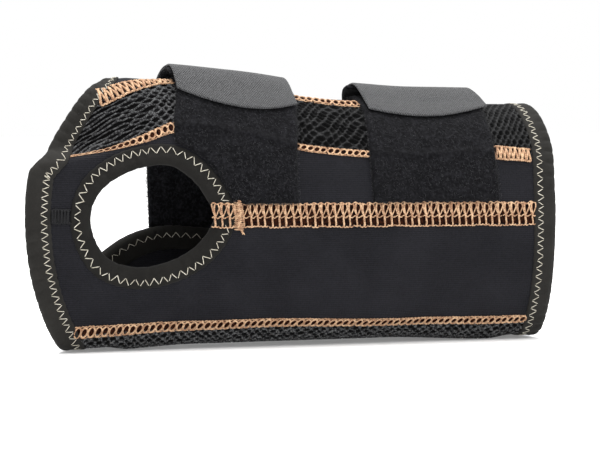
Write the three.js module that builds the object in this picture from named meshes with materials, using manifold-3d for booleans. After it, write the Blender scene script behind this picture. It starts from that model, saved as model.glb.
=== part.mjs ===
import * as THREE from 'three';
import { mergeVertices } from 'three/addons/utils/BufferGeometryUtils.js';
import Module from 'manifold-3d';

// Wrist brace: an open wrap of neoprene and mesh panels that stands on its lower long fold.
// Millimetres, Z up. X runs from the hand end to the forearm end, the near side faces -Y.
// Places on the wrap are given by "along" (X), "round" (arc length up the near side from the
// reference line, over the top, or negative down and under) and "lift" (out from the skin).

// The wrap as a whole
const braceLength = 210;
const handHeight = 102.5;
const forearmHeight = 91.3;
const handDepth = 42;
const forearmDepth = 62;
const referenceHeight = 48; // height of the reference line on the near side
const handSlant = 39; // how far the hand edge draws in at the upper flap
const forearmFlare = 1.9; // how far the forearm edge flares out on its upper half
const flareFrom = 10; // arcs between which it flares
const flareTo = 32;
const upperReach = 90; // arc from the reference line over the top to the upper flap's edge
const lowerReach = 122; // arc from the reference line under the base to the lower flap's edge

// Layers
const neopreneThickness = 3;
const meshThickness = 2.4;
const loopThickness = 1.4;
const strapThickness = 2;
const hookThickness = 1.2;
const tapeThickness = 0.8;
const layerGap = 0.4; // clear space between two layers that lie on each other
const tapeGap = 0.8; // clear space inside a folded tape, on both faces of the panel
const seamGap = 0.4; // clear space between two panels that are sewn edge to edge

// Binding tape
const edgeTapeWidth = 9.4;
const thumbTapeWidth = 8;
const foldDepth = 2.8; // from the tape's folded edge to the panel's cut edge
const tapeLap = 6; // straight stretch of an end tape past its corner
const bendShare = 0.6; // how much of the fold is bent round

// Flap corners
const upperHandCorner = 14;
const lowerHandCorner = 46;
const upperForearmCorner = 12;
const lowerForearmCorner = 12;

// Seams, as arcs from the reference line
const mainSeamRound = 2.4;
const mainSeamWidth = 9;
const palmReach = 41.5; // down to the seam above the bottom mesh
const wristReach = 30.5; // up to the seam under the top mesh
const meshReach = 60; // up to the seam over the top mesh
const backReach = 88; // under the base to the seam of the lower flap

// Thumb hole, measured at the folded edge of its tape
const thumbHoleLength = 47;
const thumbHoleHeight = 38;
const thumbHolePlace = -0.533; // share of the half length, from the middle of the brace
const thumbHoleRound = 2.8;

// Ledge where the neoprene bulges out under the top mesh at the hand end
const ledgeDepth = 5.5;
const ledgeRise = 13; // arc over which the skin steps in
const ledgeShift = 2; // how far the middle of the step lies above the seam
const ledgeFade = 24; // arc over which it comes back out above the step
const ledgeStart = -0.457; // shares of the half length between which the ledge grows
const ledgeFull = -0.8;

// Flat fold that the brace stands on
const lowerFullness = 2.2; // power of the lower half oval: 2 is an ellipse, more is squarer
const foldRounding = 5;
const heelRamp = 10; // length over which the skin rises to make room for the end tapes
const heelMargin = 2;

// Straps and their hook tabs
const strapLap = 35; // how far a strap is sewn down the lower flap
const strapHead = 80; // arc where a strap ends under its tab
const tabEnd = 43.5; // arc of the hand tab's rounded free end
const tabRound = 20; // how far the rounded end would draw back a whole width from its lowest place
const tabLength = 46;
const archRise = 3.2; // how far a closed tab stands off its loop band at the top
const strapWidth = 46.5;

// Shares of the named sizes, one row for each station from the hand end to the forearm end:
// depth and height run from the hand's size (0) to the forearm's (1); waist, lean and heel are
// the widest height, the sideways set of the top and the cut below the floor.
const stations = [
  { along: -1.0, depth: 0.0, height: 0.0, waist: 0.512, lean: 0.048, heel: 0.06 },
  { along: -0.62, depth: 0.2, height: -0.03, waist: 0.511, lean: 0.043, heel: 0.065 },
  { along: -0.2, depth: 0.5, height: 0.31, waist: 0.52, lean: 0.02, heel: 0.065 },
  { along: 0.25, depth: 0.8, height: 0.8, waist: 0.54, lean: 0.0, heel: 0.065 },
  { along: 1.0, depth: 1.0, height: 1.0, waist: 0.53, lean: 0.0, heel: 0.06 },
];

// Hand edge, by share of the reach above (+) or below (-) the reference line, in shares of handSlant
const handEdge = [
  { round: -1.0, inset: 0.7 },
  { round: -0.66, inset: 0.68 },
  { round: -0.53, inset: 0.58 },
  { round: -0.42, inset: 0.43 },
  { round: -0.3, inset: 0.235 },
  { round: -0.17, inset: 0.095 },
  { round: -0.04, inset: 0.03 },
  { round: 0.09, inset: 0.025 },
  { round: 0.19, inset: 0.055 },
  { round: 0.24, inset: 0.09 },
  { round: 0.28, inset: 0.175 },
  { round: 0.32, inset: 0.275 },
  { round: 0.4, inset: 0.385 },
  { round: 0.5, inset: 0.54 },
  { round: 0.56, inset: 0.64 },
  { round: 0.62, inset: 0.75 },
  { round: 0.68, inset: 0.86 },
  { round: 0.76, inset: 0.94 },
  { round: 1.0, inset: 1.0 },
];

// Seam lines along the wrap, in shares of their own reach
const lowerSeam = [
  { along: -1.0, reach: 0.985 },
  { along: -0.8, reach: 0.98 },
  { along: -0.53, reach: 0.965 },
  { along: -0.13, reach: 0.952 },
  { along: 0.03, reach: 0.957 },
  { along: 0.3, reach: 0.985 },
  { along: 0.5, reach: 0.99 },
  { along: 1.0, reach: 0.985 },
];
const wristSeam = [
  { along: -1.0, reach: 0.77 },
  { along: -0.86, reach: 0.825 },
  { along: -0.7, reach: 0.92 },
  { along: -0.56, reach: 1.05 },
  { along: -0.42, reach: 1.21 },
  { along: -0.2, reach: 1.13 },
  { along: 0.01, reach: 0.95 },
  { along: 0.2, reach: 0.865 },
  { along: 0.5, reach: 0.82 },
  { along: 0.77, reach: 0.855 },
  { along: 1.0, reach: 0.785 },
];
const topSeam = [
  { along: -1.0, reach: 0.75 },
  { along: -0.7, reach: 0.83 },
  { along: -0.57, reach: 0.925 },
  { along: -0.43, reach: 1.0 },
  { along: -0.2, reach: 1.0 },
  { along: 0.06, reach: 0.91 },
  { along: 0.26, reach: 0.86 },
  { along: 0.4, reach: 0.88 },
  { along: 0.6, reach: 1.0 },
  { along: 0.8, reach: 1.12 },
  { along: 1.0, reach: 1.17 },
];

// Thumb hole outline in shares of its half length and half height, clockwise from the hand side
const thumbOutline = [
  { along: -1.0, up: 0.0 },
  { along: -0.87, up: 0.45 },
  { along: -0.55, up: 0.78 },
  { along: -0.13, up: 0.98 },
  { along: 0.32, up: 1.0 },
  { along: 0.68, up: 0.69 },
  { along: 0.91, up: 0.26 },
  { along: 1.0, up: 0.0 },
  { along: 0.91, up: -0.28 },
  { along: 0.7, up: -0.6 },
  { along: 0.28, up: -0.89 },
  { along: -0.21, up: -1.0 },
  { along: -0.7, up: -0.82 },
  { along: -0.92, up: -0.45 },
];

// Closures. Band and strap are where the loop band and the strap begin, in shares of the half
// length; width is the band's, in shares of the strap's. Lean is how far the band's top sets
// towards the forearm for each millimetre up. In shares of the strap's width, swing is the tab's
// extra set at its free end, flare its extra width there, low the place where that end reaches
// lowest and drift the strap's extra set on the lower flap. End is a share of tabEnd and arch a
// share of archRise.
const closures = [
  {
    name: 'hand',
    band: -0.444,
    strap: -0.419,
    width: 1,
    lean: 0.11,
    swing: 0.026,
    flare: 0,
    low: 0.65,
    drift: 0.037,
    end: 1,
    arch: 1,
  },
  {
    name: 'forearm',
    band: 0.286,
    strap: 0.272,
    width: 1.097,
    lean: -0.03,
    swing: 0.138,
    flare: 0.108,
    low: 0.42,
    drift: 0,
    end: 0.943,
    arch: 1.1,
  },
];

// Height of a closed tab over its loop band, from its free end back, in shares of its arch
const tabArch = [
  { back: 0.0, rise: 0.0 },
  { back: 0.18, rise: 0.06 },
  { back: 0.28, rise: 0.5 },
  { back: 0.38, rise: 1.0 },
  { back: 0.5, rise: 0.9 },
  { back: 0.64, rise: 0.8 },
  { back: 0.78, rise: 0.78 },
  { back: 1.0, rise: 0.78 },
];

const halfLength = braceLength / 2;
const tapeOut = tapeGap + tapeThickness;
const bandLift = layerGap;
const bandTop = bandLift + loopThickness;

// Fineness of the surfaces
const stationStep = 2;
const sectionSteps = 240;
const probe = 0.6; // step of the finite differences that give the skin's normal
const panelColumns = 20; // the same for every panel, so that edges sewn together match
const panelPasses = 12; // repeats that settle a panel point between slanted edges and seams
const handEdgeSteps = 40;
const forearmEdgeSteps = 34;
const flapTapeSteps = 8;
const cornerSteps = 4;
const wideCornerSteps = 7;
const thumbTapeSteps = 36;
const thumbCutSteps = 40;
const thumbClearSteps = 72;

const { clamp, lerp, smoothstep } = THREE.MathUtils;

// Smooth value of a table's column: a cubic through the rows with slopes from their neighbours.
function follow(rows, key, column, at) {
  const last = rows.length - 1;
  let i = 0;
  while (i < last - 1 && at > rows[i + 1][key]) i += 1;
  const slope = (j) => {
    const before = rows[Math.max(j - 1, 0)];
    const after = rows[Math.min(j + 1, last)];
    return (after[column] - before[column]) / (after[key] - before[key]);
  };
  const span = rows[i + 1][key] - rows[i][key];
  const t = clamp((at - rows[i][key]) / span, 0, 1);
  const a = rows[i][column];
  const b = rows[i + 1][column];
  return (2 * t ** 3 - 3 * t ** 2 + 1) * a + (t ** 3 - 2 * t ** 2 + t) * span * slope(i)
    + (3 * t ** 2 - 2 * t ** 3) * b + (t ** 3 - t ** 2) * span * slope(i + 1);
}

// Position of the hand edge at a given arc, and the drawing in of a round corner near a flap's edge.
function handCurve(round) {
  const share = round > 0 ? round / upperReach : round / lowerReach;
  return -halfLength + handSlant * follow(handEdge, 'round', 'inset', clamp(share, -1, 1));
}

function cornerDraw(toEdge, radius) {
  const short = clamp(radius - toEdge, 0, radius);
  return radius - Math.sqrt(radius ** 2 - short ** 2);
}

function handX(round, inset) {
  return handCurve(round) + inset
    + cornerDraw(upperReach - inset - round, upperHandCorner - inset)
    + cornerDraw(round + lowerReach - inset, lowerHandCorner - inset);
}

function forearmCurve(round) {
  return halfLength + forearmFlare * smoothstep(round, flareFrom, flareTo);
}

function forearmX(round, inset) {
  return forearmCurve(round) - inset
    - cornerDraw(upperReach - inset - round, upperForearmCorner - inset)
    - cornerDraw(round + lowerReach - inset, lowerForearmCorner - inset);
}

const lowerSeamRound = (x) => -palmReach * follow(lowerSeam, 'along', 'reach', x / halfLength);
const wristSeamRound = (x) => wristReach * follow(wristSeam, 'along', 'reach', x / halfLength);
const topSeamRound = (x) => meshReach * follow(topSeam, 'along', 'reach', x / halfLength);

// Rise of the skin over the floor at both ends, so that the tapes there touch the floor too.
function heelRise(x) {
  const baseRound = -palmReach - (backReach - palmReach) / 2;
  const handTape = handCurve(baseRound) + edgeTapeWidth + heelMargin;
  const forearmTape = halfLength - edgeTapeWidth - heelMargin;
  return tapeOut * (1 - smoothstep(x, handTape, handTape + heelRamp)
    + smoothstep(x, forearmTape - heelRamp, forearmTape));
}

// Largest of two heights with a rounded change-over of the given size.
function roundedMax(a, b, rounding) {
  const h = Math.max(rounding - Math.abs(a - b), 0) / rounding;
  return Math.max(a, b) + (h ** 2 * rounding) / 4;
}

// Closed section of the wrap at one station: a lower and an upper half oval, cut flat at the
// floor, with its arc length measured from the reference line on the near side.
const sectionCache = new Map();
function sectionAt(station) {
  if (sectionCache.has(station)) return sectionCache.get(station);
  const x = station * stationStep;
  const share = x / halfLength;
  const value = (column) => follow(stations, 'along', column, clamp(share, -1, 1));
  const depth = handDepth + (forearmDepth - handDepth) * value('depth');
  const height = handHeight + (forearmHeight - handHeight) * value('height');
  const waist = height * value('waist');
  const floor = heelRise(x);
  const y = [];
  const z = [];
  const arc = [0];
  for (let i = 0; i <= sectionSteps; i += 1) {
    const angle = 2 * Math.PI * (1 - i / sectionSteps);
    const side = Math.cos(angle);
    const up = Math.sin(angle);
    const power = up >= 0 ? 1 : 2 / lowerFullness;
    const rise = Math.sign(up) * Math.abs(up) ** power;
    const below = waist + height * value('heel');
    y.push((depth / 2) * Math.sign(side) * Math.abs(side) ** power
      + (up > 0 ? depth * value('lean') * rise : 0));
    z.push(roundedMax(waist + (up >= 0 ? height - waist : below) * rise, floor, foldRounding));
    if (i > 0) arc.push(arc[i - 1] + Math.hypot(y[i] - y[i - 1], z[i] - z[i - 1]));
  }
  let k = Math.floor(sectionSteps / 4); // the base; the near side runs on from it to the top
  while (z[k + 1] < referenceHeight) k += 1;
  const zero = lerp(arc[k], arc[k + 1], (referenceHeight - z[k]) / (z[k + 1] - z[k]));
  const section = { y, z, arc, zero, girth: arc[sectionSteps] };
  sectionCache.set(station, section);
  return section;
}

function pointOn(section, round) {
  const s = THREE.MathUtils.euclideanModulo(section.zero + round, section.girth);
  let low = 0;
  let high = sectionSteps;
  while (high - low > 1) {
    const middle = (low + high) >> 1;
    if (section.arc[middle] > s) high = middle;
    else low = middle;
  }
  const t = (s - section.arc[low]) / (section.arc[high] - section.arc[low] || 1);
  return { y: lerp(section.y[low], section.y[high], t), z: lerp(section.z[low], section.z[high], t) };
}

function onStations(x, read) {
  const station = Math.floor(x / stationStep);
  const t = x / stationStep - station;
  return [read(sectionAt(station)), read(sectionAt(station + 1)), t];
}

function girthAt(x) {
  const [a, b, t] = onStations(x, (section) => section.girth);
  return lerp(a, b, t);
}

function plainSkin(x, round) {
  const [a, b, t] = onStations(x, (section) => pointOn(section, round));
  return new THREE.Vector3(x, lerp(a.y, b.y, t), lerp(a.z, b.z, t));
}

// Outward normal of a surface given by along and round, from finite differences.
function normalOf(surface, x, round) {
  const alongX = surface(x + probe, round).sub(surface(x - probe, round));
  const up = surface(x, round + probe).sub(surface(x, round - probe));
  return alongX.cross(up).normalize();
}

// How far the skin steps in above the wrist seam at the hand end.
function ledge(x, round) {
  const strength = 1 - smoothstep(x / halfLength, ledgeFull, ledgeStart);
  if (strength === 0 || round < 0 || round > upperReach) return 0;
  const over = round - wristSeamRound(x) - ledgeShift;
  return ledgeDepth * strength * smoothstep(over, -ledgeRise / 2, ledgeRise / 2)
    * (1 - smoothstep(over, ledgeRise / 2, ledgeRise / 2 + ledgeFade));
}

function skin(x, round) {
  const point = plainSkin(x, round);
  const depth = ledge(x, round);
  return depth === 0 ? point : point.addScaledVector(normalOf(plainSkin, x, round), -depth);
}

function wrap(x, round, lift) {
  return skin(x, round).addScaledVector(normalOf(skin, x, round), lift);
}

// Signed volume of a triangle list, and the geometry turned so that its faces point out.
function closedGeometry(points, triangles) {
  let volume = 0;
  for (const [a, b, c] of triangles) volume += points[a].dot(points[b].clone().cross(points[c]));
  const index = triangles.flatMap(([a, b, c]) => (volume > 0 ? [a, b, c] : [a, c, b]));
  const geometry = new THREE.BufferGeometry();
  geometry.setAttribute('position', new THREE.Float32BufferAttribute(points.flatMap((p) => p.toArray()), 3));
  geometry.setIndex(index);
  geometry.computeVertexNormals();
  return geometry;
}

// A slab of the wrap. place(s, t) gives along, round and the outer face's lift for shares s, t.
function slab(columns, rows, thickness, place) {
  const points = [];
  for (const depth of [0, thickness]) {
    for (let j = 0; j <= rows; j += 1) {
      for (let i = 0; i <= columns; i += 1) {
        const { x, round, lift } = place(i / columns, j / rows);
        points.push(wrap(x, round, lift - depth));
      }
    }
  }
  const layer = (columns + 1) * (rows + 1);
  const at = (i, j, face) => face * layer + j * (columns + 1) + i;
  const triangles = [];
  const quad = (a, b, c, d) => triangles.push([a, b, c], [a, c, d]);
  for (let j = 0; j < rows; j += 1) {
    for (let i = 0; i < columns; i += 1) {
      quad(at(i, j, 0), at(i + 1, j, 0), at(i + 1, j + 1, 0), at(i, j + 1, 0));
      quad(at(i, j, 1), at(i, j + 1, 1), at(i + 1, j + 1, 1), at(i + 1, j, 1));
    }
  }
  for (let i = 0; i < columns; i += 1) {
    quad(at(i, 0, 1), at(i + 1, 0, 1), at(i + 1, 0, 0), at(i, 0, 0));
    quad(at(i, rows, 0), at(i + 1, rows, 0), at(i + 1, rows, 1), at(i, rows, 1));
  }
  for (let j = 0; j < rows; j += 1) {
    quad(at(0, j, 0), at(0, j + 1, 0), at(0, j + 1, 1), at(0, j, 1));
    quad(at(columns, j, 1), at(columns, j + 1, 1), at(columns, j + 1, 0), at(columns, j, 0));
  }
  return closedGeometry(points, triangles);
}

// A panel between two seam lines and the two ends of the brace. Crowd draws the rows a little
// towards the first (-) or last (+) seam, where a flap's corners are round.
function panel(columns, rows, thickness, low, high, crowd = 0) {
  return slab(columns, rows, thickness, (s, t) => {
    const up = t + crowd * t * (1 - t);
    let x = 0;
    let round = 0;
    for (let pass = 0; pass < panelPasses; pass += 1) {
      round = lerp(low(x), high(x), up);
      x = lerp(handX(round, foldDepth), forearmX(round, foldDepth), s);
    }
    return { x, round, lift: 0 };
  });
}

// Section of a folded tape: two legs and the fold, as distance in from the edge and lift.
function tapeSection(width) {
  const inner = -neopreneThickness - tapeGap;
  const mid = -neopreneThickness / 2;
  const bend = foldDepth * bendShare;
  return [
    { into: width, lift: tapeOut },
    { into: (width + bend) / 2, lift: tapeOut },
    { into: bend, lift: tapeOut },
    { into: 0, lift: lerp(mid, tapeOut, bendShare) },
    { into: 0, lift: lerp(mid, inner - tapeThickness, bendShare) },
    { into: bend, lift: inner - tapeThickness },
    { into: width, lift: inner - tapeThickness },
    { into: width, lift: inner },
    { into: bend + tapeThickness / 2, lift: inner },
    { into: tapeThickness, lift: mid },
    { into: bend + tapeThickness / 2, lift: tapeGap },
    { into: (width + bend) / 2, lift: tapeGap },
    { into: width, lift: tapeGap },
  ];
}

// A folded tape carried along a path of { x, round } on the wrap, closed or with capped ends.
// Going along the path, the panel lies on the right.
function tape(path, width, closed) {
  const section = tapeSection(width);
  const last = path.length - 1;
  const points = [];
  path.forEach((here, i) => {
    const before = path[closed ? (i + last) % path.length : Math.max(i - 1, 0)];
    const after = path[closed ? (i + 1) % path.length : Math.min(i + 1, last)];
    const length = Math.hypot(after.x - before.x, after.round - before.round);
    const inX = (after.round - before.round) / length;
    const inRound = -(after.x - before.x) / length;
    for (const { into, lift } of section) {
      points.push(wrap(here.x + inX * into, here.round + inRound * into, lift));
    }
  });
  const sides = section.length;
  const triangles = [];
  for (let i = 0; i < (closed ? path.length : last); i += 1) {
    const next = (i + 1) % path.length;
    for (let k = 0; k < sides; k += 1) {
      const m = (k + 1) % sides;
      triangles.push([i * sides + k, next * sides + k, next * sides + m]);
      triangles.push([i * sides + k, next * sides + m, i * sides + m]);
    }
  }
  if (!closed) {
    const contour = section.map(({ into, lift }) => new THREE.Vector2(into, lift));
    for (const [a, b, c] of THREE.ShapeUtils.triangulateShape(contour, [])) {
      triangles.push([a, b, c], [last * sides + a, last * sides + c, last * sides + b]);
    }
  }
  return closedGeometry(points, triangles);
}

// A quarter turn of a flap's corner, and an even stretch between two places.
function arcPath(steps, place) {
  return Array.from({ length: steps + 1 }, (_, i) => place(i / steps));
}

function quarter(steps, centreX, centreRound, radius, from) {
  return arcPath(steps, (t) => {
    const angle = from - (t * Math.PI) / 2;
    const round = centreRound + radius * Math.sin(angle);
    return { x: centreX(round) + radius * Math.cos(angle), round };
  });
}

// Outline of the brace, clockwise: up the hand edge, along the upper flap, down the forearm
// edge and back along the lower flap.
function handTapePath() {
  const lowCentre = -lowerReach + lowerHandCorner;
  const topCentre = upperReach - upperHandCorner;
  const lower = quarter(wideCornerSteps, (round) => handCurve(round) + lowerHandCorner,
    lowCentre, lowerHandCorner, 1.5 * Math.PI);
  const side = arcPath(handEdgeSteps, (t) => {
    const round = lerp(lowCentre, topCentre, t);
    return { x: handCurve(round), round };
  });
  const upper = quarter(cornerSteps, (round) => handCurve(round) + upperHandCorner,
    topCentre, upperHandCorner, Math.PI);
  const start = { x: lower[0].x + tapeLap, round: -lowerReach };
  const end = { x: upper[upper.length - 1].x + tapeLap, round: upperReach };
  return [start, ...lower, ...side.slice(1, -1), ...upper, end];
}

function forearmTapePath() {
  const topCentre = upperReach - upperForearmCorner;
  const lowCentre = -lowerReach + lowerForearmCorner;
  const upper = quarter(cornerSteps, (round) => forearmCurve(round) - upperForearmCorner,
    topCentre, upperForearmCorner, Math.PI / 2);
  const side = arcPath(forearmEdgeSteps, (t) => {
    const round = lerp(topCentre, lowCentre, t);
    return { x: forearmCurve(round), round };
  });
  const lower = quarter(cornerSteps, (round) => forearmCurve(round) - lowerForearmCorner,
    lowCentre, lowerForearmCorner, 0);
  const start = { x: upper[0].x - tapeLap, round: upperReach };
  const end = { x: lower[lower.length - 1].x - tapeLap, round: -lowerReach };
  return [start, ...upper, ...side.slice(1, -1), ...lower, end];
}

function flapTapePath(round, fromX, toX) {
  const gap = seamGap * Math.sign(toX - fromX);
  return arcPath(flapTapeSteps, (t) => ({ x: lerp(fromX + gap, toX - gap, t), round }));
}

// Thumb hole outline on the wrap, pushed outwards by a given distance.
const thumbCurve = new THREE.CatmullRomCurve3(
  thumbOutline.map(({ along, up }) => new THREE.Vector3(
    thumbHolePlace * halfLength + (along * thumbHoleLength) / 2,
    thumbHoleRound + (up * thumbHoleHeight) / 2,
    0,
  )),
  true,
  'centripetal',
);

function thumbPath(steps, out) {
  return arcPath(steps - 1, (t) => {
    const u = (t * (steps - 1)) / steps;
    const point = thumbCurve.getPointAt(u);
    const tangent = thumbCurve.getTangentAt(u);
    return { x: point.x - tangent.y * out, round: point.y + tangent.x * out };
  });
}

const solids = await Module();
solids.setup();

function toSolid(geometry) {
  const bare = geometry.clone();
  bare.deleteAttribute('normal');
  bare.deleteAttribute('uv');
  const merged = mergeVertices(bare);
  return new solids.Manifold(new solids.Mesh({
    numProp: 3,
    vertProperties: new Float32Array(merged.attributes.position.array),
    triVerts: new Uint32Array(merged.index.array),
  }));
}

function cut(geometry, tool) {
  const mesh = toSolid(geometry).subtract(toSolid(tool)).getMesh();
  const result = new THREE.BufferGeometry();
  result.setAttribute('position', new THREE.BufferAttribute(new Float32Array(mesh.vertProperties), 3));
  result.setIndex(new THREE.BufferAttribute(new Uint32Array(mesh.triVerts), 1));
  result.computeVertexNormals();
  return result;
}

// Prism through the near wall that leaves the panels' cut edge inside the thumb tape.
function thumbCutter() {
  const outline = thumbPath(thumbCutSteps, foldDepth).map(({ x, round }) => {
    const point = wrap(x, round, -neopreneThickness / 2);
    return new THREE.Vector2(point.x, point.z);
  });
  const depth = forearmDepth;
  const prism = new THREE.ExtrudeGeometry(new THREE.Shape(outline), { depth, bevelEnabled: false });
  return prism.rotateX(Math.PI / 2);
}

// Loop band on the wrist: its hand side makes way for the thumb tape.
function loopBand({ band, width, lean }) {
  const foot = mainSeamRound + mainSeamWidth / 2 + seamGap;
  const head = upperReach - edgeTapeWidth - seamGap;
  const ring = thumbPath(thumbClearSteps, thumbTapeWidth + seamGap);
  const ringSide = (round) => {
    let reach = -Infinity;
    ring.forEach((a, i) => {
      const b = ring[(i + 1) % ring.length];
      if ((a.round - round) * (b.round - round) > 0) return;
      reach = Math.max(reach, lerp(a.x, b.x, (round - a.round) / (b.round - a.round || 1)));
    });
    return reach;
  };
  return slab(4, 19, loopThickness, (s, t) => {
    const round = lerp(foot, head, t);
    const left = band * halfLength + lean * (round - foot);
    const from = Math.max(left, ringSide(round));
    return { x: lerp(from, left + width * strapWidth, s), round, lift: bandTop };
  });
}

// Height of a tab over its loop band.
function archAt(round, { end, arch }) {
  const back = clamp((round - end * tabEnd) / tabLength, 0, 1);
  return arch * archRise * follow(tabArch, 'back', 'rise', back);
}

// Strap: sewn to the lower flap, past the open gap and over the top to its head under the tab.
function strapOf(closure) {
  const { strap, drift } = closure;
  const tapeTop = tapeOut + layerGap;
  const headRise = archAt(strapHead, closure) - strapThickness - layerGap;
  const lapStart = (x) => girthAt(x) - lowerReach;
  const lapMiddle = lapStart(strap * halfLength + strapWidth / 2);
  return slab(4, 20, strapThickness, (s, t) => {
    const straight = strap * halfLength + strapWidth * s;
    const round = lerp(strapHead, lapStart(straight) + strapLap, t);
    const x = straight + drift * strapWidth * smoothstep(round, upperReach, lapMiddle);
    const past = round - lapStart(x);
    const overBand = bandTop + layerGap + headRise * (1 - smoothstep(round, strapHead, upperReach));
    const inner = past < 0
      ? lerp(overBand, tapeTop, smoothstep(past, -edgeTapeWidth, 0))
      : lerp(tapeTop, layerGap, smoothstep(past, edgeTapeWidth, 2 * edgeTapeWidth));
    return { x, round, lift: inner + strapThickness };
  });
}

// Hook tab: rounded free end pressed on the loop band, then an arch back over the strap's head.
function hookTab(closure) {
  const { strap, swing, flare, low, end } = closure;
  const lowest = end * tabEnd;
  return slab(6, 14, hookThickness, (s, t) => {
    const round = lerp(lowest + tabRound * (s - low) ** 2, lowest + tabLength, t);
    const towardsEnd = 1 - smoothstep(round, tabEnd, strapHead);
    const x = strap * halfLength
      + strapWidth * (s + towardsEnd * (swing + flare * (s - 0.5)));
    return { x, round, lift: bandTop + layerGap + hookThickness + archAt(round, closure) };
  });
}

function material(color, roughness) {
  return new THREE.MeshStandardMaterial({ color, roughness, metalness: 0 });
}

const colours = {
  neoprene: '#27272b',
  mesh: '#1d1e20',
  tape: '#3d3c39',
  loop: '#161619',
  strap: '#141416',
  hook: '#7f8082',
};

const brace = new THREE.Group();

function add(name, geometry, colour, roughness) {
  const mesh = new THREE.Mesh(geometry, material(colour, roughness));
  mesh.name = name;
  brace.add(mesh);
}

const halfSeam = seamGap / 2;
const cutter = thumbCutter();
add('palm_panel', cut(panel(panelColumns, 8, neopreneThickness, (x) => lowerSeamRound(x) + halfSeam,
  () => mainSeamRound - halfSeam), cutter), colours.neoprene, 0.75);
add('wrist_panel', cut(panel(panelColumns, 7, neopreneThickness, () => mainSeamRound + halfSeam,
  (x) => wristSeamRound(x) - halfSeam), cutter), colours.neoprene, 0.75);
add('top_mesh_panel', panel(panelColumns, 8, meshThickness, (x) => wristSeamRound(x) + halfSeam,
  (x) => topSeamRound(x) - halfSeam), colours.mesh, 0.85);
add('upper_back_panel', panel(panelColumns, 9, neopreneThickness, (x) => topSeamRound(x) + halfSeam,
  () => upperReach - foldDepth, 0.25), colours.neoprene, 0.75);
add('bottom_mesh_panel', panel(panelColumns, 10, meshThickness, () => -backReach + halfSeam,
  (x) => lowerSeamRound(x) - halfSeam), colours.mesh, 0.85);
add('lower_back_panel', panel(panelColumns, 6, neopreneThickness, () => -lowerReach + foldDepth,
  () => -backReach - halfSeam, -0.25), colours.neoprene, 0.75);

const handPath = handTapePath();
const forearmPath = forearmTapePath();
const endOf = (path) => path[path.length - 1];
add('hand_binding', tape(handPath, edgeTapeWidth, false), colours.tape, 0.7);
add('forearm_binding', tape(forearmPath, edgeTapeWidth, false), colours.tape, 0.7);
add('upper_flap_binding', tape(flapTapePath(upperReach, endOf(handPath).x, forearmPath[0].x),
  edgeTapeWidth, false), colours.tape, 0.7);
add('lower_flap_binding', tape(flapTapePath(-lowerReach, endOf(forearmPath).x, handPath[0].x),
  edgeTapeWidth, false), colours.tape, 0.7);
add('thumb_binding', tape(thumbPath(thumbTapeSteps, 0).reverse(), thumbTapeWidth, true), colours.tape, 0.7);

for (const closure of closures) {
  add(`${closure.name}_loop_band`, loopBand(closure), colours.loop, 0.95);
  add(`${closure.name}_strap`, strapOf(closure), colours.strap, 0.95);
  add(`${closure.name}_hook_tab`, hookTab(closure), colours.hook, 0.6);
}

export default brace;
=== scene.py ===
import math

import bpy
import numpy as np
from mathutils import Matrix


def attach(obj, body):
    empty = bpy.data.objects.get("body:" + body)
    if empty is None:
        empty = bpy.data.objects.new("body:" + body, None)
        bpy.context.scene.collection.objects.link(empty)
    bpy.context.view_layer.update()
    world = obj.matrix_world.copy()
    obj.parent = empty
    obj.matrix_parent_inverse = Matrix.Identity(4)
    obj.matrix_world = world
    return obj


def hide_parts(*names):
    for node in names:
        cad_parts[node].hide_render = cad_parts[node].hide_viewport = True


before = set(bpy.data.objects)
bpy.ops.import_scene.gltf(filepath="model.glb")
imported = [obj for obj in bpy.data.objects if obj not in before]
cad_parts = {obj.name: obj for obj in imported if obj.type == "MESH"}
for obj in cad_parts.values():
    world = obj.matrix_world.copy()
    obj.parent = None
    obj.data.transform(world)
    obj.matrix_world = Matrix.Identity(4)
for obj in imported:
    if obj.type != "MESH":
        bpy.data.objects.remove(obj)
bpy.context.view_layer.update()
print("frame loaded")

# Lengths are millimetres until a mesh is made. A place on the brace is x, from the hand end to the
# forearm end, v, the arc up the near side from a reference line, over the top or under the base,
# and lift, out from the skin.
millimetre = 0.001

shape = {
    "length": 210,
    "handHeight": 102.5,
    "forearmHeight": 91.3,
    "handDepth": 42,
    "forearmDepth": 62,
    "reference": 48,
    "handSlant": 39,
    "forearmFlare": 1.9,
    "flareFrom": 10,
    "flareTo": 32,
    "upperReach": 90,
    "lowerReach": 122,
    "lowerFullness": 2.2,
    "foldRounding": 5,
    "foldDepth": 2.8,
    "neoprene": 3,
    "mesh": 2.4,
    "endRise": 1.6,  # room for the end bindings over the floor
    "endReach": 11.4,
    "endRamp": 10,
    "baseRound": -64.75,
    # along, depth, height, waist, lean, heel: as shares
    "stations": [
        (-1.0, 0.0, 0.0, 0.512, 0.048, 0.06),
        (-0.62, 0.2, -0.03, 0.511, 0.043, 0.065),
        (-0.2, 0.5, 0.31, 0.52, 0.02, 0.065),
        (0.25, 0.8, 0.8, 0.54, 0.0, 0.065),
        (1.0, 1.0, 1.0, 0.53, 0.0, 0.06),
    ],
    # share of the reach up or down, share of the slant
    "handEdge": [
        (-1.0, 0.7), (-0.66, 0.68), (-0.53, 0.58), (-0.42, 0.43), (-0.3, 0.235), (-0.17, 0.095),
        (-0.04, 0.03), (0.09, 0.025), (0.19, 0.055), (0.24, 0.09), (0.28, 0.175), (0.32, 0.275),
        (0.4, 0.385), (0.5, 0.54), (0.56, 0.64), (0.62, 0.75), (0.68, 0.86), (0.76, 0.94), (1.0, 1.0),
    ],
    "corners": {"upperHand": 14, "lowerHand": 46, "upperForearm": 12, "lowerForearm": 12},
    "ledge": {"depth": 5.5, "rise": 8, "shift": 1.5, "fade": 26, "start": -48, "full": -84},
    "girthSteps": 720,
}

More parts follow.
